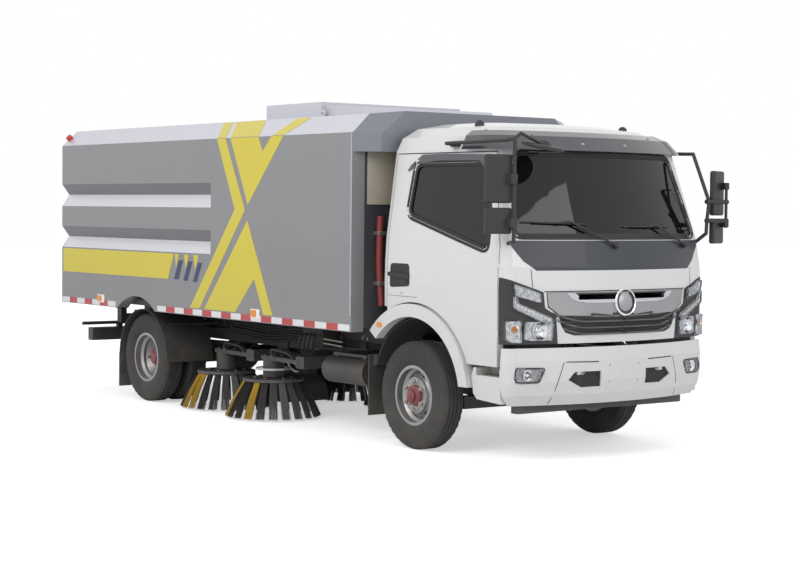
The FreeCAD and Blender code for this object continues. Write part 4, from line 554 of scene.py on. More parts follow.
# The cab: pressed steel panels, spot welded and sprayed gloss white, its doors hung on outside knuckles.
# Rubber seals run along the seams.
cab_white = finish_of("cab_white", "cab_paint", (0.68, 0.68, 0.665), 0.28, coat=0.6, dust=(0.45, 1.05, 0.28),
                      grain=(500.0, 60.0, 0.5, 0.03), mottle=(2.0, 0.04))
dress(cab_white, "cab_shell", "door_left", "door_right", "front_bumper", "front_fenders", "steps")
black_plastic = finish_of("black_plastic", "black_plastic", (0.022, 0.022, 0.024), 0.48, dust=(0.3, 1.2, 0.3),
                          grain=(1200.0, 200.0, 0.5, 0.35))
dress(black_plastic, "headlamps", "grille", "mirrors", "steering_wheel", "cab_floor")
cowl_grey = finish_of("cowl_grey", "black_plastic", (0.026, 0.031, 0.040), 0.42, coat=0.15,
                      dust=(0.3, 1.4, 0.2),
                      grain=(1200.0, 200.0, 0.5, 0.2))
dress(cowl_grey, "cowl_panel")
SIDE, FRONT, TOP, REAR = "side", "front", "top", "rear"


def skin_of(*nodes):
    """The surfaces of some CAD nodes, to lay thin pieces on."""
    points, faces = [], []
    for node in nodes:
        mesh = NODES[node].data
        faces += [[i + len(points) for i in polygon.vertices] for polygon in mesh.polygons]
        points += [v.co.copy() for v in mesh.vertices]
    return bvhtree.BVHTree.FromPolygons(points, faces)


def seen_from(view, u, v, sign=1):
    """A point far off and the way to look: the right side or left side, from in front, above or behind."""
    if view == SIDE:
        return Vector((u, sign * 3.0, v)), Vector((0, -sign, 0))
    if view == TOP:
        return Vector((u, sign * v, 4.0)), Vector((0, 0, -1))
    if view == REAR:
        return Vector((-6.0, u, v)), Vector((1, 0, 0))
    return Vector((6.0, u, v)), Vector((-1, 0, 0))


def met(skin, view, u, v, sign=1):
    """Where a line of sight meets a skin."""
    return skin.ray_cast(*seen_from(view, u, v, sign))[0]


def film(skin, view, outline, sign=1, lift=0.0008, grid=0.05, holes=(), creases=(), rim=False):
    """A thin sheet or raised panel laid on a skin. Its outline is drawn as seen from one side."""
    loops = [[Vector((u, v, 0)) for u, v in loop] for loop in (outline, *holes)]
    flat = [p for loop in loops for p in loop]
    shape = bmesh.new()
    verts = [shape.verts.new(p) for p in flat]
    for triangle in geometry.tessellate_polygon(loops):
        if len(set(triangle)) == 3:
            shape.faces.new([verts[i] for i in triangle])
    for axis in (0, 1):
        values = [p[axis] for p in flat]
        start, end = min(values), max(values)
        cuts = [start + (end - start) * i / max(1, math.ceil((end - start) / grid))
                for i in range(1, max(1, math.ceil((end - start) / grid)))]
        normal = Vector((1, 0, 0)) if axis == 0 else Vector((0, 1, 0))
        for cut in cuts + [c for c in creases if axis == 1 and start < c < end]:
            bmesh.ops.bisect_plane(shape, geom=shape.verts[:] + shape.edges[:] + shape.faces[:],
                                   plane_co=normal * cut, plane_no=normal, dist=1e-6)
    missed = []
    for vert in shape.verts:
        start, way = seen_from(view, vert.co.x, vert.co.y, sign)
        hit, normal, _, _ = skin.ray_cast(start, way)
        if hit is None:
            missed.append(vert)
            continue
        if normal.dot(way) > 0:
            normal = -normal
        vert.co = hit + normal * lift
    bmesh.ops.delete(shape, geom=missed, context="VERTS")
    _, way = seen_from(view, 0, 0, sign)
    if rim:
        edges = [e for e in shape.edges if e.is_boundary]
        made = bmesh.ops.extrude_edge_only(shape, edges=edges)["geom"]
        for vert in [g for g in made if isinstance(g, bmesh.types.BMVert)]:
            vert.co += way * (lift + 0.002)
    for face in shape.faces:
        face.normal_update()
        if not rim and face.normal.dot(way) > 0:
            face.normal_flip()
    if rim:
        bmesh.ops.recalc_face_normals(shape, faces=shape.faces[:])
    return lists_of(shape)


def scaled_loop(loop, grow):
    """A loop moved outwards by a distance, corner by corner."""
    area = sum(a[0] * b[1] - b[0] * a[1] for a, b in zip(loop, loop[1:] + loop[:1]))
    turn = 1 if area > 0 else -1
    out = []
    for before, here, after in zip(loop[-1:] + loop[:-1], loop, loop[1:] + loop[:1]):
        a = (Vector(here) - Vector(before)).normalized()
        b = (Vector(after) - Vector(here)).normalized()
        na, nb = Vector((a.y, -a.x)) * turn, Vector((b.y, -b.x)) * turn
        way = (na + nb).normalized()
        out.append(tuple(Vector(here) + way * (grow / max(0.35, way.dot(na)))))
    return out


def rounded_loop(loop, radius, steps=5):
    """A loop with its corners rounded."""
    out = []
    for before, here, after in zip(loop[-1:] + loop[:-1], loop, loop[1:] + loop[:1]):
        a, b = Vector(before) - Vector(here), Vector(after) - Vector(here)
        cut = min(radius, a.length * 0.45, b.length * 0.45)
        first, last = Vector(here) + a.normalized() * cut, Vector(here) + b.normalized() * cut
        for i in range(steps + 1):
            t = i / steps
            out.append(tuple(first * (1 - t) ** 2 + Vector(here) * 2 * t * (1 - t) + last * t * t))
    return out


def beside(points):
    """A side outline given from the front axle."""
    return [(X0 + x, z) for x, z in points]


# Black rubber for the seals. The same dark finish is also painted shade: the line along the door's crease,
# the sheet behind the bumper's netting and the plate's four screw holes.
seal_rubber_and_shade = finish_of("seal_rubber_and_shade", "rubber", (0.012, 0.012, 0.013), 0.55, dust=(0.3, 1.2, 0.2),
                        grain=(900.0, 90.0, 0.4, 0.2))
cab_skin = skin_of("cab_shell", "front_fenders", "front_bumper")
door_skin = {1: skin_of("door_left"), -1: skin_of("door_right")}
pane_skin = {1: skin_of("door_glass_left"), -1: skin_of("door_glass_right")}
DOORS = {1: ("door_left", "left"), -1: ("door_right", "right")}
window = rounded_loop(beside([(-0.118, 1.672), (-0.078, 2.040), (0.672, 2.040), (0.806, 1.700),
                              (0.812, 1.432)]), 0.075, 8)
handle_loop = rounded_loop(beside([(-0.275, 1.150), (-0.270, 1.325), (-0.050, 1.325), (-0.040, 1.165)]),
                            0.03)
lever_loop = rounded_loop(beside([(-0.285, 1.232), (-0.285, 1.262), (-0.045, 1.252), (-0.045, 1.218)]),
                           0.012)
deflector_low = beside([(-0.160, 1.985), (-0.020, 2.040), (0.200, 2.055), (0.640, 2.050), (0.720, 1.99)])
deflector_high = beside([(0.770, 2.03), (0.690, 2.090), (0.250, 2.104), (0.000, 2.100),
                         (-0.120, 2.030)])
for sign, (body, side) in DOORS.items():
    skin = door_skin[sign]
    piece("window_seal_" + side, body, seal_rubber_and_shade,
          film(skin, SIDE, scaled_loop(window, 0.022), sign, 0.004, 0.04, [scaled_loop(window, 0.002)],
               rim=True),
          film(pane_skin[sign], SIDE, scaled_loop(window, -0.002), sign, 0.010, 0.04,
               [scaled_loop(window, -0.024)], rim=True))
    piece("door_handle_" + side, body, black_plastic,
          film(skin, SIDE, handle_loop, sign, 0.002, 0.03, rim=True),
          film(skin, SIDE, lever_loop, sign, 0.016, 0.03, rim=True),
          film(skin, SIDE, rounded_loop(beside([(-0.25, 1.17), (-0.25, 1.205), (-0.07, 1.205),
                                                (-0.07, 1.18)]), 0.01), sign, 0.006, 0.03, rim=True))
    piece("door_lock_" + side, body, hard_chrome,
          turned([(0, 0.011), (0.007, 0.011), (0.009, 0.008)],
                 met(skin, SIDE, X0 - 0.13, 1.12, sign), (0, sign, 0),
                 20))
    # A dark line along the door's pressed crease: painted shade in the crease.
    piece("door_crease_shade_" + side, body, seal_rubber_and_shade,
          film(skin, SIDE, beside([(-0.30, 1.094), (0.05, 1.090), (0.05, 1.0875), (-0.30, 1.0915)]),
               sign, 0.0006))
smoked_acrylic = finish_of("smoked_acrylic", "smoked_plastic", (0.060, 0.063, 0.070), 0.14, coat=0.5,
                           grain=(300.0, 20.0, 0.5, 0.02))
dress(smoked_acrylic, "visor")
for sign, (body, side) in DOORS.items():
    piece("rain_deflector_" + side, body, smoked_acrylic,
          film(door_skin[sign], SIDE, deflector_low + deflector_high, sign, 0.014, 0.04, rim=True))

# Cab glass: toughened panes, tinted, bonded in black rubber with a fired black border on the windshield.
def tinted_glass(name, slot, tint, depth):
    """Toughened safety glass: a clear pane that darkens and reflects."""
    made = bpy.data.materials.new(name)
    made["slot"] = slot
    made.use_nodes = True
    nodes, links = made.node_tree.nodes, made.node_tree.links
    shader = nodes["Principled BSDF"]
    shader.inputs["Transmission Weight"].default_value = depth
    shader.inputs["Roughness"].default_value = 0.02
    shader.inputs["IOR"].default_value = 1.45
    uneven = placed_group(nodes, mottle_group, Colour=(*tint, 1), Scale=1.5, Spread=0.1)
    links.new(uneven.outputs["Color"], shader.inputs["Base Color"])
    return made


cab_glazing = tinted_glass("cab_glazing", "window_glass", (0.010, 0.009, 0.009), 0.5)
dress(cab_glazing, "cab_glass", "door_glass_left", "door_glass_right")
lamp_lens = tinted_glass("lamp_lens", "lamp_lens", (0.9, 0.9, 0.9), 0.6)
dress(lamp_lens, "chassis_lamps")
front_skin = skin_of("cab_shell", "cab_glass", "cowl_panel", "grille", "headlamps", "front_bumper")
pane = rounded_loop([(-0.862, 1.530), (0.862, 1.530), (0.735, 2.112), (-0.735, 2.112)], 0.07)
piece("windshield_border", "cab", seal_rubber_and_shade,
      film(front_skin, FRONT, scaled_loop(pane, 0.014), lift=0.0035, grid=0.04,
           holes=[scaled_loop(pane, -0.028)], rim=True))

# Two wipers: pressed steel arms and blade carriers, painted black, pivoting in the cowl.
def on_pane(point, lift):
    """A place in front of the windshield or the cowl."""
    hit = met(front_skin, FRONT, point[0], point[1])
    return hit + Vector((lift, 0, 0.0))


wiper = []
for pivot, elbow, left, right in (((-0.067, 1.475), (-0.430, 1.640), (-0.790, 1.635), (-0.270, 1.622)),
                                  ((0.690, 1.478), (0.365, 1.620), (0.045, 1.608), (0.535, 1.606))):
    root, top = on_pane(pivot, 0.012), on_pane(elbow, 0.034)
    wiper.append(turned([(-0.02, 0.020), (0.018, 0.020), (0.026, 0.014)], root, (1, 0, 0.25), 24))
    near = root.lerp(top, 0.35) + Vector((0.016, 0, 0))
    wiper.append(bar([root + Vector((0.015, 0, 0)), near, top], 0.0075, 0.05, 8))
    steps = [i / 12 for i in range(13)]
    spots = [(left[0] * (1 - t) + right[0] * t, left[1] * (1 - t) + right[1] * t) for t in steps]
    wiper.append(bar([on_pane(p, 0.008) for p in spots], 0.0055, 0.0, 6))
    wiper.append(bar([on_pane(p, 0.020) for p in spots[2:11]], 0.0045, 0.0, 6))
    for k in (2, 6, 10):
        wiper.append(bar([on_pane(spots[k], 0.006), on_pane(spots[k], 0.024)], 0.006, 0.0, 6))
    wiper.append(bar([top, on_pane(spots[6], 0.022)], 0.008, 0.0, 8))
piece("wipers", "cab", black_plastic, *wiper)

# The cab's front: a moulded black grille with a satin silver band above it, a chrome lip around the air
# slot, fine netting behind the bars and a plain round boss where the bonnet latch sits. Clipped together.
def inside(loop, u, v):
    """Whether a point lies inside a loop."""
    hit = False
    for (u0, v0), (u1, v1) in zip(loop, loop[1:] + loop[:1]):
        if (v0 > v) != (v1 > v) and u < (u1 - u0) * (v - v0) / (v1 - v0) + u0:
            hit = not hit
    return hit


def net(surface, loop, pitch, radius, step=0.012):
    """Netting of crossed diagonal wires over a loop. surface(u, v) gives the place of each point."""
    us, vs = [p[0] for p in loop], [p[1] for p in loop]
    wires = []
    for slope in (0.6, -0.6):
        low, high = min(vs) - abs(slope) * (max(us) - min(us)), max(vs) + abs(slope) * (max(us) - min(us))
        for k in range(int((high - low) / pitch) + 1):
            start, run = low + k * pitch, []
            for i in range(int((max(us) - min(us)) / step) + 2):
                u = min(us) + i * step
                v = start + slope * (u - min(us))
                if inside(loop, u, v):
                    run.append(surface(u, v))
                elif len(run) > 1:
                    wires.append(bar([run[0], *run[1:-1:3], run[-1]], radius, 0.0, 4))
                    run = []
                else:
                    run = []
            if len(run) > 1:
                wires.append(bar([run[0], *run[1:-1:3], run[-1]], radius, 0.0, 4))
    return joined(*wires)


def on_front(u, v, lift=0.0):
    """The cab front's surface at a width and height, as seen from in front, or beside a slot there."""
    for down in (0, 0.02, -0.02, 0.04, -0.04):
        hit = met(front_skin, FRONT, u, v - down)
        if hit:
            return Vector((hit.x + lift, u, v))


def twin_film(outline, lift, grid=0.04, holes=(), rim=True):
    """A film on the cab's left front and its mirror image."""
    return mirrored(film(front_skin, FRONT, outline, 1, lift, grid, holes, rim=rim))


satin_silver = finish_of("satin_silver", "rim_silver", (0.36, 0.36, 0.37), 0.32, metal=0.6,
                         dust=(0.4, 1.6, 0.25),
                         grain=(600.0, 60.0, 0.4, 0.04))
bright_chrome = finish_of("bright_chrome", "chrome_rod", (0.80, 0.81, 0.83), 0.10, metal=1.0,
                          dust=(0.4, 1.4, 0.12),
                          grain=(600.0, 60.0, 0.4, 0.02))
slot_half = [(0.085, 1.157), (0.432, 1.157), (0.398, 1.130), (0.345, 1.116), (0.085, 1.112)]
band_half = [(0.0, 1.160), (0.646, 1.160), (0.632, 1.068), (0.546, 1.008), (0.40, 0.995), (0.0, 0.990)]
piece("grille_band", "cab", satin_silver, twin_film(band_half, 0.0035, holes=[slot_half]))
lip_half = [(0.085, 1.112), (0.345, 1.116), (0.398, 1.130), (0.432, 1.157), (0.500, 1.157), (0.462, 1.119),
            (0.400, 1.098), (0.330, 1.090), (0.085, 1.088)]
piece("grille_lip", "cab", bright_chrome, twin_film(rounded_loop(lip_half, 0.012), 0.010, 0.03))
bars, EDGE_GREY = [], (0.10, 0.105, 0.115)
bar_grey = finish_of("bar_grey", "black_plastic", EDGE_GREY, 0.35, coat=0.2, dust=(0.4, 1.4, 0.2),
                     grain=(1200.0, 200.0, 0.5, 0.2))
for z0, end, lift_end in ((0.957, 0.600, 0.060), (0.915, 0.560, 0.050), (0.872, 0.515, 0.040)):
    line = [(end * i / 10, z0 + lift_end * max(0.0, (end * i / 10 - 0.34) / (end - 0.34)) ** 1.6)
            for i in range(11)]
    strip = [(y, z + 0.011) for y, z in line] + [(y, z) for y, z in reversed(line)]
    bars.append(twin_film(strip, 0.012, 0.05))
piece("grille_strips", "cab", bar_grey, *bars)
net_half = [(0.0, 0.984), (0.40, 0.988), (0.54, 1.000), (0.615, 1.030), (0.54, 0.945), (0.505, 0.900),
            (0.435, 0.878), (0.0, 0.874)]
piece("grille_net", "cab", black_plastic,
      mirrored(net(lambda u, v: on_front(u, v, 0.002), net_half, 0.022, 0.0022)))
boss_place, boss_axis = on_front(0.0, 1.089, 0.002), (1, 0, 0.08)
piece("front_boss_well", "cab", black_plastic,
      turned([(-0.02, 0.088), (0.006, 0.088)], boss_place, boss_axis, 48))
piece("front_boss", "cab", satin_silver,
      turned([(-0.02, 0.064), (0.010, 0.064), (0.016, 0.050), (0.019, 0.026), (0.020, 0.004)], boss_place,
             boss_axis, 48))
piece("front_boss_ring", "cab", bright_chrome,
      turned([(-0.02, 0.098), (0.010, 0.098), (0.018, 0.092), (0.016, 0.084), (-0.02, 0.082)], boss_place,
             boss_axis, 48,
             ring=True))

# Headlamps: chromed reflectors and a strip of white diodes under clear polycarbonate, in a black housing.
# The round bulb bowl is the low beam. The tall outer one is the turn lamp.
clear_lens = tinted_glass("clear_lens", "lamp_lens", (0.97, 0.98, 0.99), 1.0)
amber_lens = finish_of("amber_lens", "lamp_lens", (0.85, 0.27, 0.02), 0.15, coat=0.6,
                       grain=(200.0, 90.0, 0.3, 0.1))
red_lens = finish_of("red_lens", "lamp_lens", (0.55, 0.012, 0.012), 0.15, coat=0.6,
                     grain=(200.0, 90.0, 0.3, 0.1))
white_diode = finish_of("white_diode", "lamp_lens", (0.92, 0.92, 0.90), 0.2, coat=0.4,
                        grain=(400.0, 90.0, 0.3, 0.05))
ribbed_chrome = finish_of("ribbed_chrome", "chrome_rod", (0.50, 0.51, 0.53), 0.16, metal=1.0,
                          grain=(70.0, 240.0, 1.2, 1.0), mottle=(40.0, 1.5))
upper_loop = [(0.886, 1.222), (0.704, 1.158), (0.697, 1.096), (0.800, 1.124), (0.872, 1.142)]
strip_loop = [(0.884, 1.150), (0.862, 1.092), (0.616, 0.990), (0.592, 0.944), (0.640, 0.950), (0.886, 1.062)]
turn_loop = [(0.830, 0.830), (0.836, 0.974), (0.926, 0.972), (0.924, 0.850), (0.900, 0.828)]
head_loop = [(0.612, 0.842), (0.606, 0.956), (0.640, 0.966), (0.798, 0.966), (0.802, 0.850), (0.760, 0.840)]
loops = [rounded_loop(loop, 0.014) for loop in (upper_loop, strip_loop, turn_loop, head_loop)]
piece("lamp_reflectors", "cab", ribbed_chrome, *[twin_film(loop, 0.0015, 0.03) for loop in loops])
diodes, bowls, turns = [], [], []
for i in range(9):
    t = (i + 0.5) / 9
    u, v = 0.872 + (0.622 - 0.872) * t, 1.078 + (0.968 - 1.078) * t
    diodes.append(film(front_skin, FRONT,
                       rounded_loop([(u - 0.009, v - 0.008), (u + 0.009, v + 0.000), (u + 0.009, v + 0.016),
                                                        (u - 0.009, v + 0.009)], 0.003), 1, 0.006, 0.05,
                       rim=True))
bowl_place, turn_place = on_front(0.700, 0.904), on_front(0.880, 0.915)
bowls.append(turned([(0, 0.058), (0.016, 0.060), (0.018, 0.056), (0.006, 0.034), (0.003, 0.016)], bowl_place,
                    (1, 0.12, 0), 40))
bowls.append(turned([(0.0, 0.011), (0.020, 0.011), (0.024, 0.006)], bowl_place, (1, 0.12, 0), 20))
bowls.append(turned([(0, 0.028), (0.012, 0.030), (0.013, 0.026), (0.005, 0.012)], turn_place, (1, 0.5, 0),
                    30))
turns.append(turned([(0.0, 0.012), (0.014, 0.012), (0.020, 0.006)], turn_place, (1, 0.5, 0), 20))
piece("lamp_diodes", "cab", white_diode, mirrored(joined(*diodes)))
piece("lamp_bowls", "cab", bright_chrome, mirrored(joined(*bowls)))
piece("turn_bulbs", "cab", amber_lens, mirrored(joined(*turns)))
piece("lamp_lenses", "cab", clear_lens, *[twin_film(scaled_loop(loop, 0.003), 0.024, 0.04) for loop in loops])

# Seams of the bonnet lid and the bumper's three mouldings, the netting in its two openings, fog lamps and
# the bare number plate field with its four screw holes.
lines = [[(0.757, 1.318), (0.762, 1.318), (0.753, 1.196), (0.748, 1.196)],
         [(0.0, 1.174), (0.668, 1.172), (0.664, 1.165), (0.0, 1.166)],
         [(0.515, 0.690), (0.521, 0.690), (0.566, 0.560), (0.604, 0.402), (0.598, 0.402), (0.560, 0.560)],
         [(0.235, 0.690), (0.500, 0.694), (0.500, 0.687), (0.235, 0.682)]]
piece("front_seams", "cab", seal_rubber_and_shade, *[twin_film(line, 0.0007, 0.05, rim=False) for line in lines[:2]])
bumper_skin = skin_of("front_bumper")


def on_bumper(u, v):
    """A place just behind the bumper's skin, inside its openings."""
    edge = met(bumper_skin, FRONT, u, 0.640)
    return Vector((edge.x - 0.016, u, v))


piece("bumper_seams", "chassis", seal_rubber_and_shade,
      *[mirrored(film(bumper_skin, FRONT, line, 1, 0.0007, 0.05)) for line in lines[2:]])
opening = [(0.208, 0.512), (0.208, 0.626), (0.433, 0.626), (0.489, 0.568), (0.378, 0.510)]
piece("bumper_net", "chassis", black_plastic, mirrored(net(on_bumper, opening, 0.020, 0.0026)))
# A dark flat sheet just behind the netting: painted shade standing in for the shaded inside of the opening.
shade_sheet = [on_bumper(u, v) - Vector((0.008, 0, 0)) for u, v in scaled_loop(opening, 0.012)]
piece("bumper_net_shade_sheet", "chassis", seal_rubber_and_shade, mirrored((shade_sheet, [list(range(len(shade_sheet)))[::-1]])))
# The plate's screw holes are dark discs on the bumper: painted shade in the holes.
holes = []
for u, v in ((0.135, 0.660), (-0.135, 0.660), (0.135, 0.545), (-0.135, 0.545)):
    place = met(bumper_skin, FRONT, u, v)
    holes.append(turned([(0, 0.0045), (0.001, 0.0045), (0.0012, 0.003)], place, (1, 0, 0), 16))
piece("plate_screw_hole_shade", "chassis", seal_rubber_and_shade, *holes)
fog_loop = rounded_loop([(0.704, 0.560), (0.664, 0.650), (0.868, 0.654), (0.878, 0.580), (0.850, 0.558)],
                        0.016)
fog_skin = skin_of("chassis_lamps", "front_bumper")
smoky_chrome = finish_of("smoky_chrome", "chrome_rod", (0.30, 0.30, 0.31), 0.22, metal=0.9,
                         grain=(60.0, 160.0, 1.4, 1.0),
                         mottle=(30.0, 1.6))
dress(smoky_chrome, "chassis_lamps")
piece("fog_surrounds", "chassis", black_plastic,
      mirrored(film(fog_skin, FRONT, scaled_loop(fog_loop, 0.007), 1, 0.003, 0.03,
                    [scaled_loop(fog_loop, -0.004)], rim=True)))
fog_place = met(fog_skin, FRONT, 0.78, 0.606)
piece("fog_bowls", "chassis", bright_chrome,
      mirrored(turned([(0, 0.040), (0.004, 0.041), (0.005, 0.036), (0.001, 0.018), (0.006, 0.010),
                       (0.008, 0.004)],
                      fog_place, (1, 0.1, 0), 32)))
piece("fog_lenses", "chassis", clear_lens,
      mirrored(film(fog_skin, FRONT, scaled_loop(fog_loop, 0.004), 1, 0.010, 0.04,
                                                         rim=True)))

# Marker lamps on the fenders and the roof, the visor's bolts and the roof's lamp feet.
roof_skin = skin_of("cab_shell", "visor")
markers = []
for sign in (-1, 1):
    spot = rounded_loop(beside([(-0.391, 0.857), (-0.391, 0.889), (-0.341, 0.889), (-0.341, 0.857)]), 0.008)
    markers.append(film(cab_skin, SIDE, spot, sign, 0.010, 0.05, rim=True))
piece("fender_markers", "cab", amber_lens, *markers)
domes, bolts = [], []
for y in (-0.69, 0.69):
    place = met(roof_skin, TOP, X0 + 0.40, y)
    domes.append(turned([(-0.01, 0.034), (0.010, 0.034), (0.024, 0.030), (0.036, 0.018), (0.040, 0.006)],
                        place, (0, 0, 1), 28))
piece("roof_markers", "cab", black_plastic, *domes)
for x, y in ((0.80, 0.555), (0.93, 0.20), (0.60, 0.80)):
    for sign in (-1, 1):
        hit, normal, _, _ = roof_skin.ray_cast(Vector((X0 + x, sign * y, 4.0)), Vector((0, 0, -1)))
        bolts.append(bolt(hit, normal, 0.009, 0.008))
piece("visor_bolts", "cab", zinc, *bolts)

# Mirrors: moulded black housings on painted tube, with silvered convex glass set into their rear faces.
# Each housing is clamped to its tube by a steel band.
mirror_silver = finish_of("mirror_silver", "chrome_rod", (0.86, 0.87, 0.88), 0.03, metal=1.0,
                          grain=(300.0, 20.0, 0.3, 0.01))
mirror_skin = skin_of("mirrors")
glasses = []
for middle, low, high in ((-1.010, 1.782, 2.063), (-1.010, 1.575, 1.711), (1.065, 1.712, 1.993),
                          (1.065, 1.505, 1.641)):
    loop = [(middle - 0.074, low), (middle + 0.074, low), (middle + 0.074, high), (middle - 0.074, high)]
    glasses.append(film(mirror_skin, REAR, rounded_loop(loop, 0.02), 1, 0.0015, 0.03))
piece("mirror_glass", "cab", mirror_silver, *glasses)

# The box: folded steel sides with pressed grooves, sprayed mid grey, white on every face that looks up and
# in the lower grooves, darker grey on every face that looks down as painted shade. Its roof and rear door are
# pale lilac grey; its floor and front wall are near black, a painted shadow.
def box_paint_and_shade(nodes, links):
    """White on faces that look up, dark grey on those that look down as painted shade, and mid grey between.
    """
    facing = nodes.new("ShaderNodeTexCoord")
    apart = nodes.new("ShaderNodeSeparateXYZ")
    links.new(facing.outputs["Normal"], apart.inputs[0])
    up = math_node(nodes, links, "GREATER_THAN", apart.outputs["Z"], 0.25)
    # Faces that look down get dark grey: painted shade.
    down = math_node(nodes, links, "LESS_THAN", apart.outputs["Z"], -0.25)
    grey = mix_colours(nodes, links, down, (0.235, 0.235, 0.24, 1), (0.13, 0.13, 0.135, 1))
    return mix_colours(nodes, links, up, grey, (0.70, 0.70, 0.74, 1))


BOX_GRAIN = (400.0, 40.0, 0.8, 0.05)
box_grey = finish_of("box_grey", "box_paint", (0.22, 0.22, 0.22), 0.35, coat=0.35, dust=(0.75, 1.3, 0.25),
                     grain=BOX_GRAIN, mottle=(1.5, 0.08), painted=box_paint_and_shade)
dress(box_grey, "box_side_left", "box_side_right", "rear_door")
box_lilac = finish_of("box_lilac", "box_paint", (0.60, 0.60, 0.65), 0.35, coat=0.35, dust=(0.75, 1.3, 0.2),
                      grain=BOX_GRAIN, mottle=(1.5, 0.08))
dress(box_lilac, "box_roof", "roof_hood")
box_slate = finish_of("box_slate", "box_paint", (0.20, 0.21, 0.24), 0.35, coat=0.3, dust=(0.75, 1.3, 0.2),
                      grain=BOX_GRAIN, mottle=(1.5, 0.1))
dress(box_slate, "fairing")
# The floor and front wall are near black: a painted shadow, where the wall under the beige panel lies in
# shade.
box_painted_shadow = finish_of("box_painted_shadow", "box_paint", (0.040, 0.043, 0.052), 0.5, dust=(0.6, 1.4, 0.3),
                      grain=(300.0, 40.0, 0.8, 0.1))
dress(box_painted_shadow, "box_floor")

# The livery: cut vinyl laid on the sides and folded over the top corner, yellow arrows and a yellow band
# with dark blue slanted bars. The field for the fleet's name stays bare.
stripe_yellow = finish_of("stripe_yellow", "box_paint", (0.66, 0.55, 0.035), 0.4, coat=0.3,
                          dust=(0.75, 1.2, 0.2),
                          grain=(500.0, 40.0, 0.4, 0.03), mottle=(1.5, 0.06))
stripe_blue = finish_of("stripe_blue", "box_paint", (0.018, 0.028, 0.12), 0.4, coat=0.3,
                        dust=(0.75, 1.2, 0.2),
                        grain=(500.0, 40.0, 0.4, 0.03))
side_skin = {1: skin_of("box_side_left", "box_roof"), -1: skin_of("box_side_right", "box_roof")}
GROOVES = (1.91, 1.813, 1.707, 1.52, 1.421, 1.32)


chevron = [(-2.446, 2.268), (-2.312, 2.268), (-2.014, 1.692), (-2.709, 0.874), (-2.866, 0.874),
           (-2.169, 1.698)]
upper_arrow = [(-2.239, 2.268), (-1.823, 2.268), (-1.759, 2.154), (-1.637, 2.268), (-1.467, 2.268),
               (-1.973, 1.733)]
lower_arrow = [(-1.977, 1.613), (-2.636, 0.874), (-2.152, 0.874), (-1.872, 1.150), (-1.733, 0.874),
               (-1.600, 0.874)]
folds = [[(-2.446, 1.098), (-2.312, 1.098), (-2.433, 0.955), (-2.567, 0.955)],
         [(-2.239, 1.098), (-1.823, 1.098), (-1.933, 0.955), (-2.372, 0.955)],
         [(-1.637, 1.098), (-1.467, 1.098), (-1.290, 0.955), (-1.487, 0.955)]]
band = [(-5.200, 1.100), (-5.200, 1.318), (-3.134, 1.318), (-3.234, 1.100)]
yellows, blues = [chevron, upper_arrow, lower_arrow, band], []
for i in range(3):
    t = i / 2
    yellows.append([(-3.119 + t * 0.305, 1.314), (-3.053 + t * 0.325, 1.315),
                    (-3.098 + t * 0.316, 1.198 - 0.011 * t)])
    blues.append([(-3.052 + t * 0.317, 1.262 - 0.010 * t), (-2.984 + t * 0.310, 1.267 - 0.013 * t),
                  (-3.059 + t * 0.303, 1.102 - 0.012 * t), (-3.132 + t * 0.314, 1.102 - 0.010 * t)])
for sign, side in ((-1, "right"), (1, "left")):
    piece("livery_yellow_" + side, "box", stripe_yellow,
          *[film(side_skin[sign], SIDE, beside(loop), sign, 0.0012, 0.06, creases=GROOVES)
            for loop in yellows],
          *[film(side_skin[sign], TOP, beside(loop), sign, 0.0012, 0.06) for loop in folds], crease=20)
    piece("livery_blue_" + side, "box", stripe_blue,
          *[film(side_skin[sign], SIDE, beside(loop), sign, 0.0024, 0.06) for loop in blues])

# Reflective tape along the bottom edge in red and white lengths, amber side reflectors on pale bases, the
# front corner's joint strip, and the round position lamps on the rear's top corners.
tape_red = finish_of("tape_red", "box_paint", (0.50, 0.018, 0.022), 0.3, coat=0.4, dust=(0.75, 1.2, 0.2),
                     grain=(900.0, 300.0, 0.8, 0.1))
tape_white = finish_of("tape_white", "box_paint", (0.78, 0.79, 0.80), 0.3, coat=0.4, dust=(0.75, 1.2, 0.2),
                       grain=(900.0, 300.0, 0.8, 0.1))
strip_grey = finish_of("strip_grey", "box_paint", (0.36, 0.38, 0.43), 0.35, coat=0.3, dust=(0.75, 1.3, 0.2),
                       grain=BOX_GRAIN)
reds, whites, bases, ambers, strips, lamps = [], [], [], [], [], []
for sign in (-1, 1):
    for i in range(31):
        x = -0.567 - 0.150 * i
        loop = [(x, 0.816), (x, 0.864), (max(x - 0.150, -5.215), 0.864), (max(x - 0.150, -5.215), 0.816)]
        (reds if i % 2 else whites).append(film(side_skin[sign], SIDE, beside(loop), sign, 0.0016, 0.16))
    for x in (-1.855, -4.45):
        base = rounded_loop([(x - 0.065, 0.843), (x - 0.065, 0.913), (x + 0.065, 0.913), (x + 0.065, 0.843)],
                            0.008)
        spot = rounded_loop([(x - 0.056, 0.852), (x - 0.056, 0.904), (x + 0.020, 0.904), (x + 0.020, 0.852)],
                            0.006)
        bases.append(film(side_skin[sign], SIDE, beside(base), sign, 0.004, 0.06, rim=True))
        ambers.append(film(side_skin[sign], SIDE, beside(spot), sign, 0.010, 0.06, rim=True))
    strips.append(film(side_skin[sign], SIDE,
                       beside([(-0.572, 0.925), (-0.572, 2.262), (-0.552, 2.262), (-0.552, 0.925)]),
                       sign, 0.0020, 0.1))
    lamps.append(turned([(-0.03, 0.030), (0.012, 0.030), (0.024, 0.024), (0.030, 0.010)],
                        (X0 - 5.19, sign * 1.045, 2.345), (-0.2, sign * 0.7, 0.72), 28))
piece("tape_red", "box", tape_red, *reds)
piece("tape_white", "box", tape_white, *whites)
piece("side_reflector_bases", "box", white_diode, *bases)
piece("side_reflectors", "box", amber_lens, *ambers)
piece("box_corner_strips", "box", strip_grey, *strips)
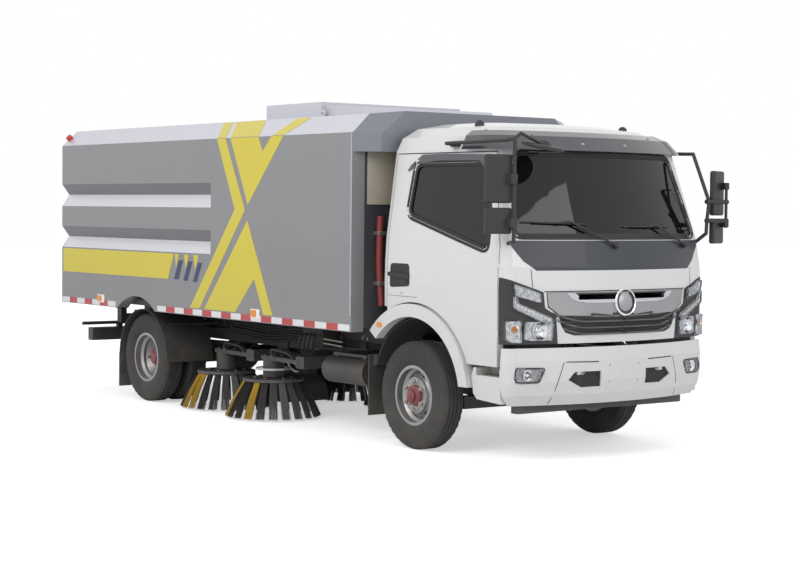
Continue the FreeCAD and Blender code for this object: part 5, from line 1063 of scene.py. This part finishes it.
piece("corner_lamps", "box", red_lens, *lamps)

# Rivets, painted over: the box's panels are riveted to its posts at both ends.
rivets = []
for sign in (-1, 1):
    for x in (-0.60, -5.19):
        for i in range(13):
            hit = met(side_skin[sign], SIDE, X0 + x, 0.93 + 0.105 * i, sign)
            if hit:
                rivets.append(turned([(0, 0.006), (0.0015, 0.0055), (0.0028, 0.003)], hit, (0, sign, 0), 10))
piece("box_rivets", "box", box_grey, *rivets)

# The front wall of the box: a beige service panel, and the red suction pipes with their pale clamp.
beige = finish_of("beige_panel", "box_paint", (0.42, 0.38, 0.30), 0.5, dust=(0.8, 2.2, 0.2),
                  grain=(400.0, 40.0, 0.6, 0.1))
pipe_red = finish_of("pipe_red", "box_paint", (0.22, 0.012, 0.014), 0.4, coat=0.2, dust=(0.6, 2.0, 0.25),
                     grain=(300.0, 40.0, 0.6, 0.1))
wall_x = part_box("box_floor")[1][0]
panels, pipes = [], []
for sign in (-1, 1):
    low_y, high_y = sorted((sign * 0.967, sign * 0.30))
    panels.append(slab((wall_x - 0.002, low_y, 1.745), (wall_x + 0.010, high_y, 2.151), 0.004))
    pipes.append(bar([(wall_x + 0.035, sign * 0.87, 1.66), (wall_x + 0.035, sign * 0.878, 1.30),
                      (wall_x + 0.035, sign * 0.851, 1.00)], 0.026, 0.10, 16))
piece("front_wall_panel", "box", beige, *panels)
piece("front_wall_pipes", "box", pipe_red, *pipes)
piece("front_wall_clamps", "box", zinc,
      *[slab((wall_x - 0.002, sign * 0.87 - 0.032, z), (wall_x + 0.064, sign * 0.87 + 0.032, z + 0.03), 0.004)
        for sign in (-1, 1) for z in (1.15, 1.52)])

# The rear: tail lamp clusters in the rear bar, and across the door reflective tape, a rubber seal and
# latches.
rear_skin = skin_of("rear_door")
(_, _, door_foot), (_, _, door_top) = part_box("rear_door")
clusters = rounded_loop([(0.640, 0.455), (0.640, 0.545), (0.800, 0.545), (0.800, 0.455)], 0.01)
rear_lamp_skin = skin_of("chassis_lamps", "rear_bumper")
piece("tail_lamps", "chassis", red_lens,
      mirrored(film(rear_lamp_skin, REAR, clusters, 1, 0.008, 0.06, rim=True)))
turn_signal = rounded_loop([(0.745, 0.465), (0.745, 0.535), (0.792, 0.535), (0.792, 0.465)], 0.008)
piece("tail_turn_lamps", "chassis", amber_lens,
      mirrored(film(rear_lamp_skin, REAR, turn_signal, 1, 0.013, 0.06, rim=True)))
seal_half = [(0.0, door_top - 0.10), (0.93, door_top - 0.10), (1.04, door_top - 0.21),
             (1.04, door_foot + 0.03),
             (0.0, door_foot + 0.03)]
seal_in = [(0.0, door_top - 0.115), (0.924, door_top - 0.115), (1.026, door_top - 0.217),
           (1.026, door_foot + 0.045), (0.0, door_foot + 0.045)]
piece("rear_door_seal", "rear_door", seal_rubber_and_shade,
      mirrored(film(rear_skin, REAR, seal_half + seal_in[::-1], 1, 0.004, 0.1, rim=True)))
tails = {0: [], 1: []}
for i in range(7):
    y = 0.15 * i
    loop = [(y, door_foot + 0.06), (y, door_foot + 0.115), (min(y + 0.15, 1.02), door_foot + 0.115),
            (min(y + 0.15, 1.02), door_foot + 0.06)]
    tails[i % 2].append(mirrored(film(rear_skin, REAR, loop, 1, 0.0016, 0.16)))
piece("rear_tape_red", "rear_door", tape_red, *tails[0])
piece("rear_tape_white", "rear_door", tape_white, *tails[1])
latches = []
for y in (-0.85, 0.85):
    place = met(rear_skin, REAR, y, 1.02)
    if place:
        latches.append(slab((place.x - 0.022, y - 0.035, 0.97), (place.x + 0.002, y + 0.035, 1.07), 0.006))
        latches.append(slab((place.x - 0.038, y - 0.012, 0.95), (place.x - 0.018, y + 0.012, 1.05), 0.005))
piece("rear_door_latches", "rear_door", zinc, *latches)

# Step treads: pressed zinc-plated cleats riveted to the steps, which are painted white with the cab.
tread, step_skin = [], skin_of("steps")
step_low, step_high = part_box("steps")
for sign in (-1, 1):
    for i in range(8):
        x = step_low[0] + 0.05 + i * (step_high[0] - step_low[0] - 0.10) / 7
        hit = met(step_skin, TOP, x, sign * (step_high[1] - 0.09))
        if hit:
            tread.append(slab((x - 0.006, hit.y - 0.05, hit.z - 0.002),
                              (x + 0.006, hit.y + 0.05, hit.z + 0.004), 0.002))
piece("step_treads", "chassis", zinc, *tread)

# The brushes: a steel disc that spins under a hydraulic motor, with flat bundles of stiff plastic bristles
# set round its rim. A few bundles are yellow, to show the wear. The discs' rims are scuffed bare.
disc_black = finish_of("disc_black", "bristles", (0.020, 0.020, 0.022), 0.4, dust=(0.1, 0.6, 0.4),
                       wear=(0.012, 1.0, (0.42, 0.42, 0.43)), grain=(300.0, 60.0, 0.6, 0.3))
bristle_black = finish_of("bristle_black", "bristles", (0.022, 0.022, 0.023), 0.45, dust=(0.0, 0.35, 0.35),
                          grain=(900.0, 90.0, 0.5, 0.2))
bristle_yellow = finish_of("bristle_yellow", "bristles", (0.58, 0.37, 0.03), 0.45, dust=(0.0, 0.35, 0.4),
                           grain=(900.0, 90.0, 0.5, 0.2))
band_white = finish_of("band_white", "chassis_black", (0.62, 0.63, 0.64), 0.35, dust=(0.2, 0.8, 0.4),
                       grain=(500.0, 60.0, 0.6, 0.2), mottle=(60.0, 0.9))
TUFTS, PLATE_R, PLATE_LOW, PLATE_HIGH = 22, 0.250, 0.300, 0.326
YELLOW = {"front": (15, 18), "rear": (16, 17)}


def bundle(middle, angle, side, rng):
    """One flat bundle: rows of bristles that lean outwards and spread towards their tips."""
    out = Vector((math.cos(angle), math.sin(angle) * side, 0))
    along = Vector((-math.sin(angle), math.cos(angle) * side, 0))
    points, faces = [], []
    for row in (-1, 0, 1):
        for column in range(19):
            t = column / 18 * 2 - 1
            ragged = rng.uniform(-1, 1)
            root = middle + out * (PLATE_R - 0.020 + row * 0.006) + along * (t * 0.023) + Vector((0, 0,
                                                                                                  0.309))
            tip = middle + out * (0.3815 + row * 0.008) + along * (t * 0.034 + ragged * 0.0015)
            tip.z = 0.014 + abs(rng.uniform(0, 0.012))
            half = root.lerp(tip, 0.5) + out * 0.010 + along * (ragged * 0.001)
            base = len(points)
            for k, spot in enumerate((root, half, tip)):
                for a in (0.5, 2.6, 4.7):
                    points.append(spot + (out * math.cos(a) + along * math.sin(a)) * (0.0021 - 0.0003 * k))
            for k in (0, 1):
                for j in range(3):
                    a, b = base + 3 * k + j, base + 3 * k + (j + 1) % 3
                    faces.append([a, b, b + 3, a + 3])
            faces += [[base + 2, base + 1, base], [base + 6, base + 7, base + 8]]
    return points, faces


def around(middle, radius, z, first, count):
    """Places on a level circle about a brush's axis."""
    turns = [math.radians(first + 360 // count * k) for k in range(count)]
    return [middle + Vector((radius * math.cos(a), radius * math.sin(a), z)) for a in turns]


for place_name in ("front", "rear"):
    for side, side_name in ((-1, "right"), (1, "left")):
        node = f"brush_{place_name}_{side_name}"
        low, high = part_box(node)
        middle = Vector(((low[0] + high[0]) / 2, (low[1] + high[1]) / 2, 0))
        rng = random.Random(node)
        groups = {True: [], False: []}
        for i in range(TUFTS):
            # A truck's right side counts the same way as its mirror image, from the front outwards.
            groups[i in YELLOW[place_name]].append(bundle(middle, 2 * math.pi * i / TUFTS, -side, rng))
        disc = turned([(PLATE_LOW - 0.010, 0.212), (PLATE_LOW, PLATE_R - 0.004), (PLATE_LOW + 0.004, PLATE_R),
                       (PLATE_HIGH - 0.010, PLATE_R), (PLATE_HIGH - 0.002, PLATE_R - 0.006),
                       (PLATE_HIGH, 0.170),
                       (PLATE_HIGH, 0.075), (PLATE_HIGH + 0.008, 0.060), (PLATE_HIGH + 0.008, 0.020),
                       (0.416, 0.0195)],
                      middle, (0, 0, 1), 64)
        made = piece("disc_" + node[6:], node, disc_black, disc,
                     *[bolt(spot, (0, 0, 1), 0.009, 0.007)
                       for spot in around(middle, 0.15, PLATE_HIGH, 0, 6)])
        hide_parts(node)
        piece("bristles_" + node[6:], node, bristle_black, *groups[False], crease=60)
        piece("bristles_yellow_" + node[6:], node, bristle_yellow, *groups[True], crease=60)
        arm = "brush_arm_" + node[6:]
        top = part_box(arm)[1][2]
        piece("motor_bolts_" + node[6:], arm, zinc,
              *[bolt(spot, (0, 0, 1), 0.008, 0.008) for spot in around(middle, 0.068, top - 0.001, 45, 4)])
        piece("motor_pipes_" + node[6:], arm, loom_black,
              *[bar([middle + Vector((0.02, side * dy, top - 0.004)),
                     middle + Vector((0.02, side * dy, top + 0.055)),
                     middle + Vector((0.30, side * (dy + 0.02), top + 0.040)),
                     middle + Vector((0.42, side * (dy + 0.05), top + 0.004))],
                    0.009, 0.05, 10) for dy in (0.005, 0.035)])
        if place_name == "front":
            ring = turned([(0.392, 0.148), (0.392, 0.142), (0.408, 0.139), (0.408, 0.145)], middle, (0, 0, 1),
                          56, ring=True)
            spokes = [bar(ends, 0.004, 0.0, 8) for ends in zip(around(middle, 0.080, 0.400, 30, 4),
                                                               around(middle, 0.143, 0.400, 30, 4))]
            piece("guard_ring_" + side_name, arm, band_white, ring, *spokes)

# Hydraulics under the box: a valve block and steel lines clipped between the rails and the brush hangers,
# with zinc-plated fittings. Painted black, greasy and dusty.
fittings, lines_under = [], []
for side in (-1, 1):
    lines_under.append(slab((X0 - 1.94, side * 0.50 - 0.09, 0.60), (X0 - 1.66, side * 0.50 + 0.09, 0.76),
                            0.01))
    for i in range(6):
        z, y = 0.615 + 0.024 * i, side * (0.425 + 0.012 * (i % 3))
        lines_under.append(bar([(X0 - 1.92, y + side * 0.03, z), (X0 - 2.35, y, z),
                                (X0 - 2.60, y + side * 0.02, z - 0.03),
                                (X0 - 3.25, y, z)], 0.009, 0.06, 8))
        fittings.append(bar([(X0 - 1.935, y + side * 0.03, z), (X0 - 1.975, y + side * 0.027, z)], 0.013, 0.0,
                            6))
    for i in range(4):
        x = X0 - 1.70 - 0.06 * i
        lines_under.append(bar([(x, side * 0.585, 0.70), (x, side * 0.64, 0.70),
                                (x - 0.02, side * 0.66, 0.60), (x - 0.04, side * 0.56, 0.50),
                                (x - 0.03, side * 0.42, 0.56)], 0.010, 0.06, 8))
        fittings.append(bar([(x, side * 0.580, 0.70), (x, side * 0.612, 0.70)], 0.014, 0.0, 6))
    for i in range(2):
        fittings.append(bar([(X0 - 1.62, side * 0.60, 0.640 + 0.035 * i),
                             (X0 - 1.36, side * 0.60, 0.630 + 0.035 * i)], 0.008, 0.0, 10))
piece("hydraulic_lines", "chassis", loom_black, *lines_under)
piece("hydraulic_fittings", "chassis", zinc, *fittings)

# The cab's inside: a moulded grey dashboard with dials under a hood, air vents and a centre panel.
grey_plastic = finish_of("grey_plastic", "grey_plastic", (0.16, 0.16, 0.17), 0.55,
                         grain=(1500.0, 200.0, 0.5, 0.4))
dress(grey_plastic, "dashboard")
dash_skin = skin_of("dashboard")
dash_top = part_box("dashboard")[1][2]
dials, vents = [], []
for y in (0.34, 0.50):
    hit, normal, _, _ = dash_skin.ray_cast(Vector((X0 + 0.2, y, dash_top - 0.14)), Vector((1, 0, 0)))
    if hit:
        dials.append(turned([(-0.004, 0.055), (0.006, 0.055), (0.008, 0.050), (0.003, 0.048)], hit,
                            -Vector((1, 0, 0)), 32))
for y in (-0.62, -0.10, 0.14, 0.68):
    hit = dash_skin.ray_cast(Vector((X0 + 0.2, y, dash_top - 0.15)), Vector((1, 0, 0)))[0]
    if hit:
        vents += [slab((hit.x - 0.010, y - 0.055, hit.z + dz), (hit.x + 0.004, y + 0.055, hit.z + dz + 0.008),
                       0.002)
                  for dz in (-0.030, -0.012, 0.006, 0.024)]
piece("dashboard_dials", "cab", black_plastic, *dials)
piece("dashboard_vents", "cab", black_plastic, *vents)

# Seats: foam pads in woven dark grey cloth, drawn tight over pressed steel pans with black plastic skirts.
# The pads are simulated as inflated cloth, then laid on the pans.
seat_cloth = finish_of("seat_cloth", "seat_fabric", (0.06, 0.06, 0.07), 0.9, grain=(1500.0, 200.0, 0.5, 0.6))
pans, FOAM_PRESSURE, SWELL_STEPS = [], 4.0, 20


def pad_mesh(name, size, cap):
    """A foam pad about its middle, swollen by a cloth simulation when one is run."""
    points, faces = slab([-s / 2 for s in size], [s / 2 for s in size], min(size) * 0.22, 3)
    mesh = bpy.data.meshes.new(name)
    mesh.from_pydata(points, [], faces)
    draft = bpy.data.objects.new(name + "_draft", mesh)
    scene.collection.objects.link(draft)
    modifier = draft.modifiers.new("even", "REMESH")
    modifier.mode, modifier.voxel_size = "VOXEL", 0.006
    evened = bpy.data.meshes.new_from_object(draft.evaluated_get(bpy.context.evaluated_depsgraph_get()))
    bpy.data.objects.remove(draft)
    start = [v.co.copy() for v in evened.vertices]
    soft = bpy.data.objects.new(name + "_soft", evened)
    scene.collection.objects.link(soft)
    cloth = soft.modifiers.new("cloth", "CLOTH")
    cloth.settings.use_pressure, cloth.settings.uniform_pressure_force = True, FOAM_PRESSURE
    cloth.settings.effector_weights.gravity = 0.0
    cloth.settings.quality = 5
    cloth.collision_settings.use_self_collision = False
    for step in range(1, SWELL_STEPS + 1):
        scene.frame_set(step)
    swollen = bpy.data.meshes.new_from_object(soft.evaluated_get(bpy.context.evaluated_depsgraph_get()))
    scene.frame_set(1)
    bpy.data.objects.remove(soft)
    for vert, home in zip(swollen.vertices, start):
        move = vert.co - home
        if move.length > cap:
            vert.co = home + move.normalized() * cap
    return swollen


seat_pad, back_pad = pad_mesh("seat_pad", (0.430, 0.420, 0.120), 0.012), pad_mesh("back_pad",
        (0.090, 0.410, 0.520), 0.012)
head_pad = pad_mesh("head_pad", (0.070, 0.230, 0.130), 0.008)
for side_name, y, wide in (("left", 0.470, 1.0), ("middle", 0.015, 0.86), ("right", -0.470, 1.0)):
    for kind, source, place, lean in (("cushion", seat_pad, (-0.010, y, 1.300), 4),
                                      ("back", back_pad, (-0.245, y, 1.690), -3),
                                      ("headrest", head_pad, (-0.255, y, 1.935), -3)):
        if side_name == "middle" and kind == "headrest":
            continue
        mesh = source.copy()
        mesh.materials.clear()
        mesh.materials.append(seat_cloth)
        mesh.transform(Matrix.Translation((X0 + place[0], y, place[2])) @ Matrix.Rotation(math.radians(-lean),
                                                                                          4, "Y")
                       @ Matrix.Diagonal((1, wide, 1, 1)))
        mesh.shade_smooth()
        pad = bpy.data.objects.new(f"seat_{kind}_{side_name}", mesh)
        scene.collection.objects.link(pad)
        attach(pad, "cab")
    half = 0.215 * wide
    pans.append(slab((X0 - 0.240, y - half, 1.052), (X0 + 0.205, y + half, 1.246), 0.02, 3))
    pans.append(slab((X0 - 0.318, y - half + 0.02, 1.25), (X0 - 0.300, y + half - 0.02, 1.90), 0.008, 2))
pans_made = piece("seat_pans", "cab", black_plastic, *pans)
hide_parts("seats")
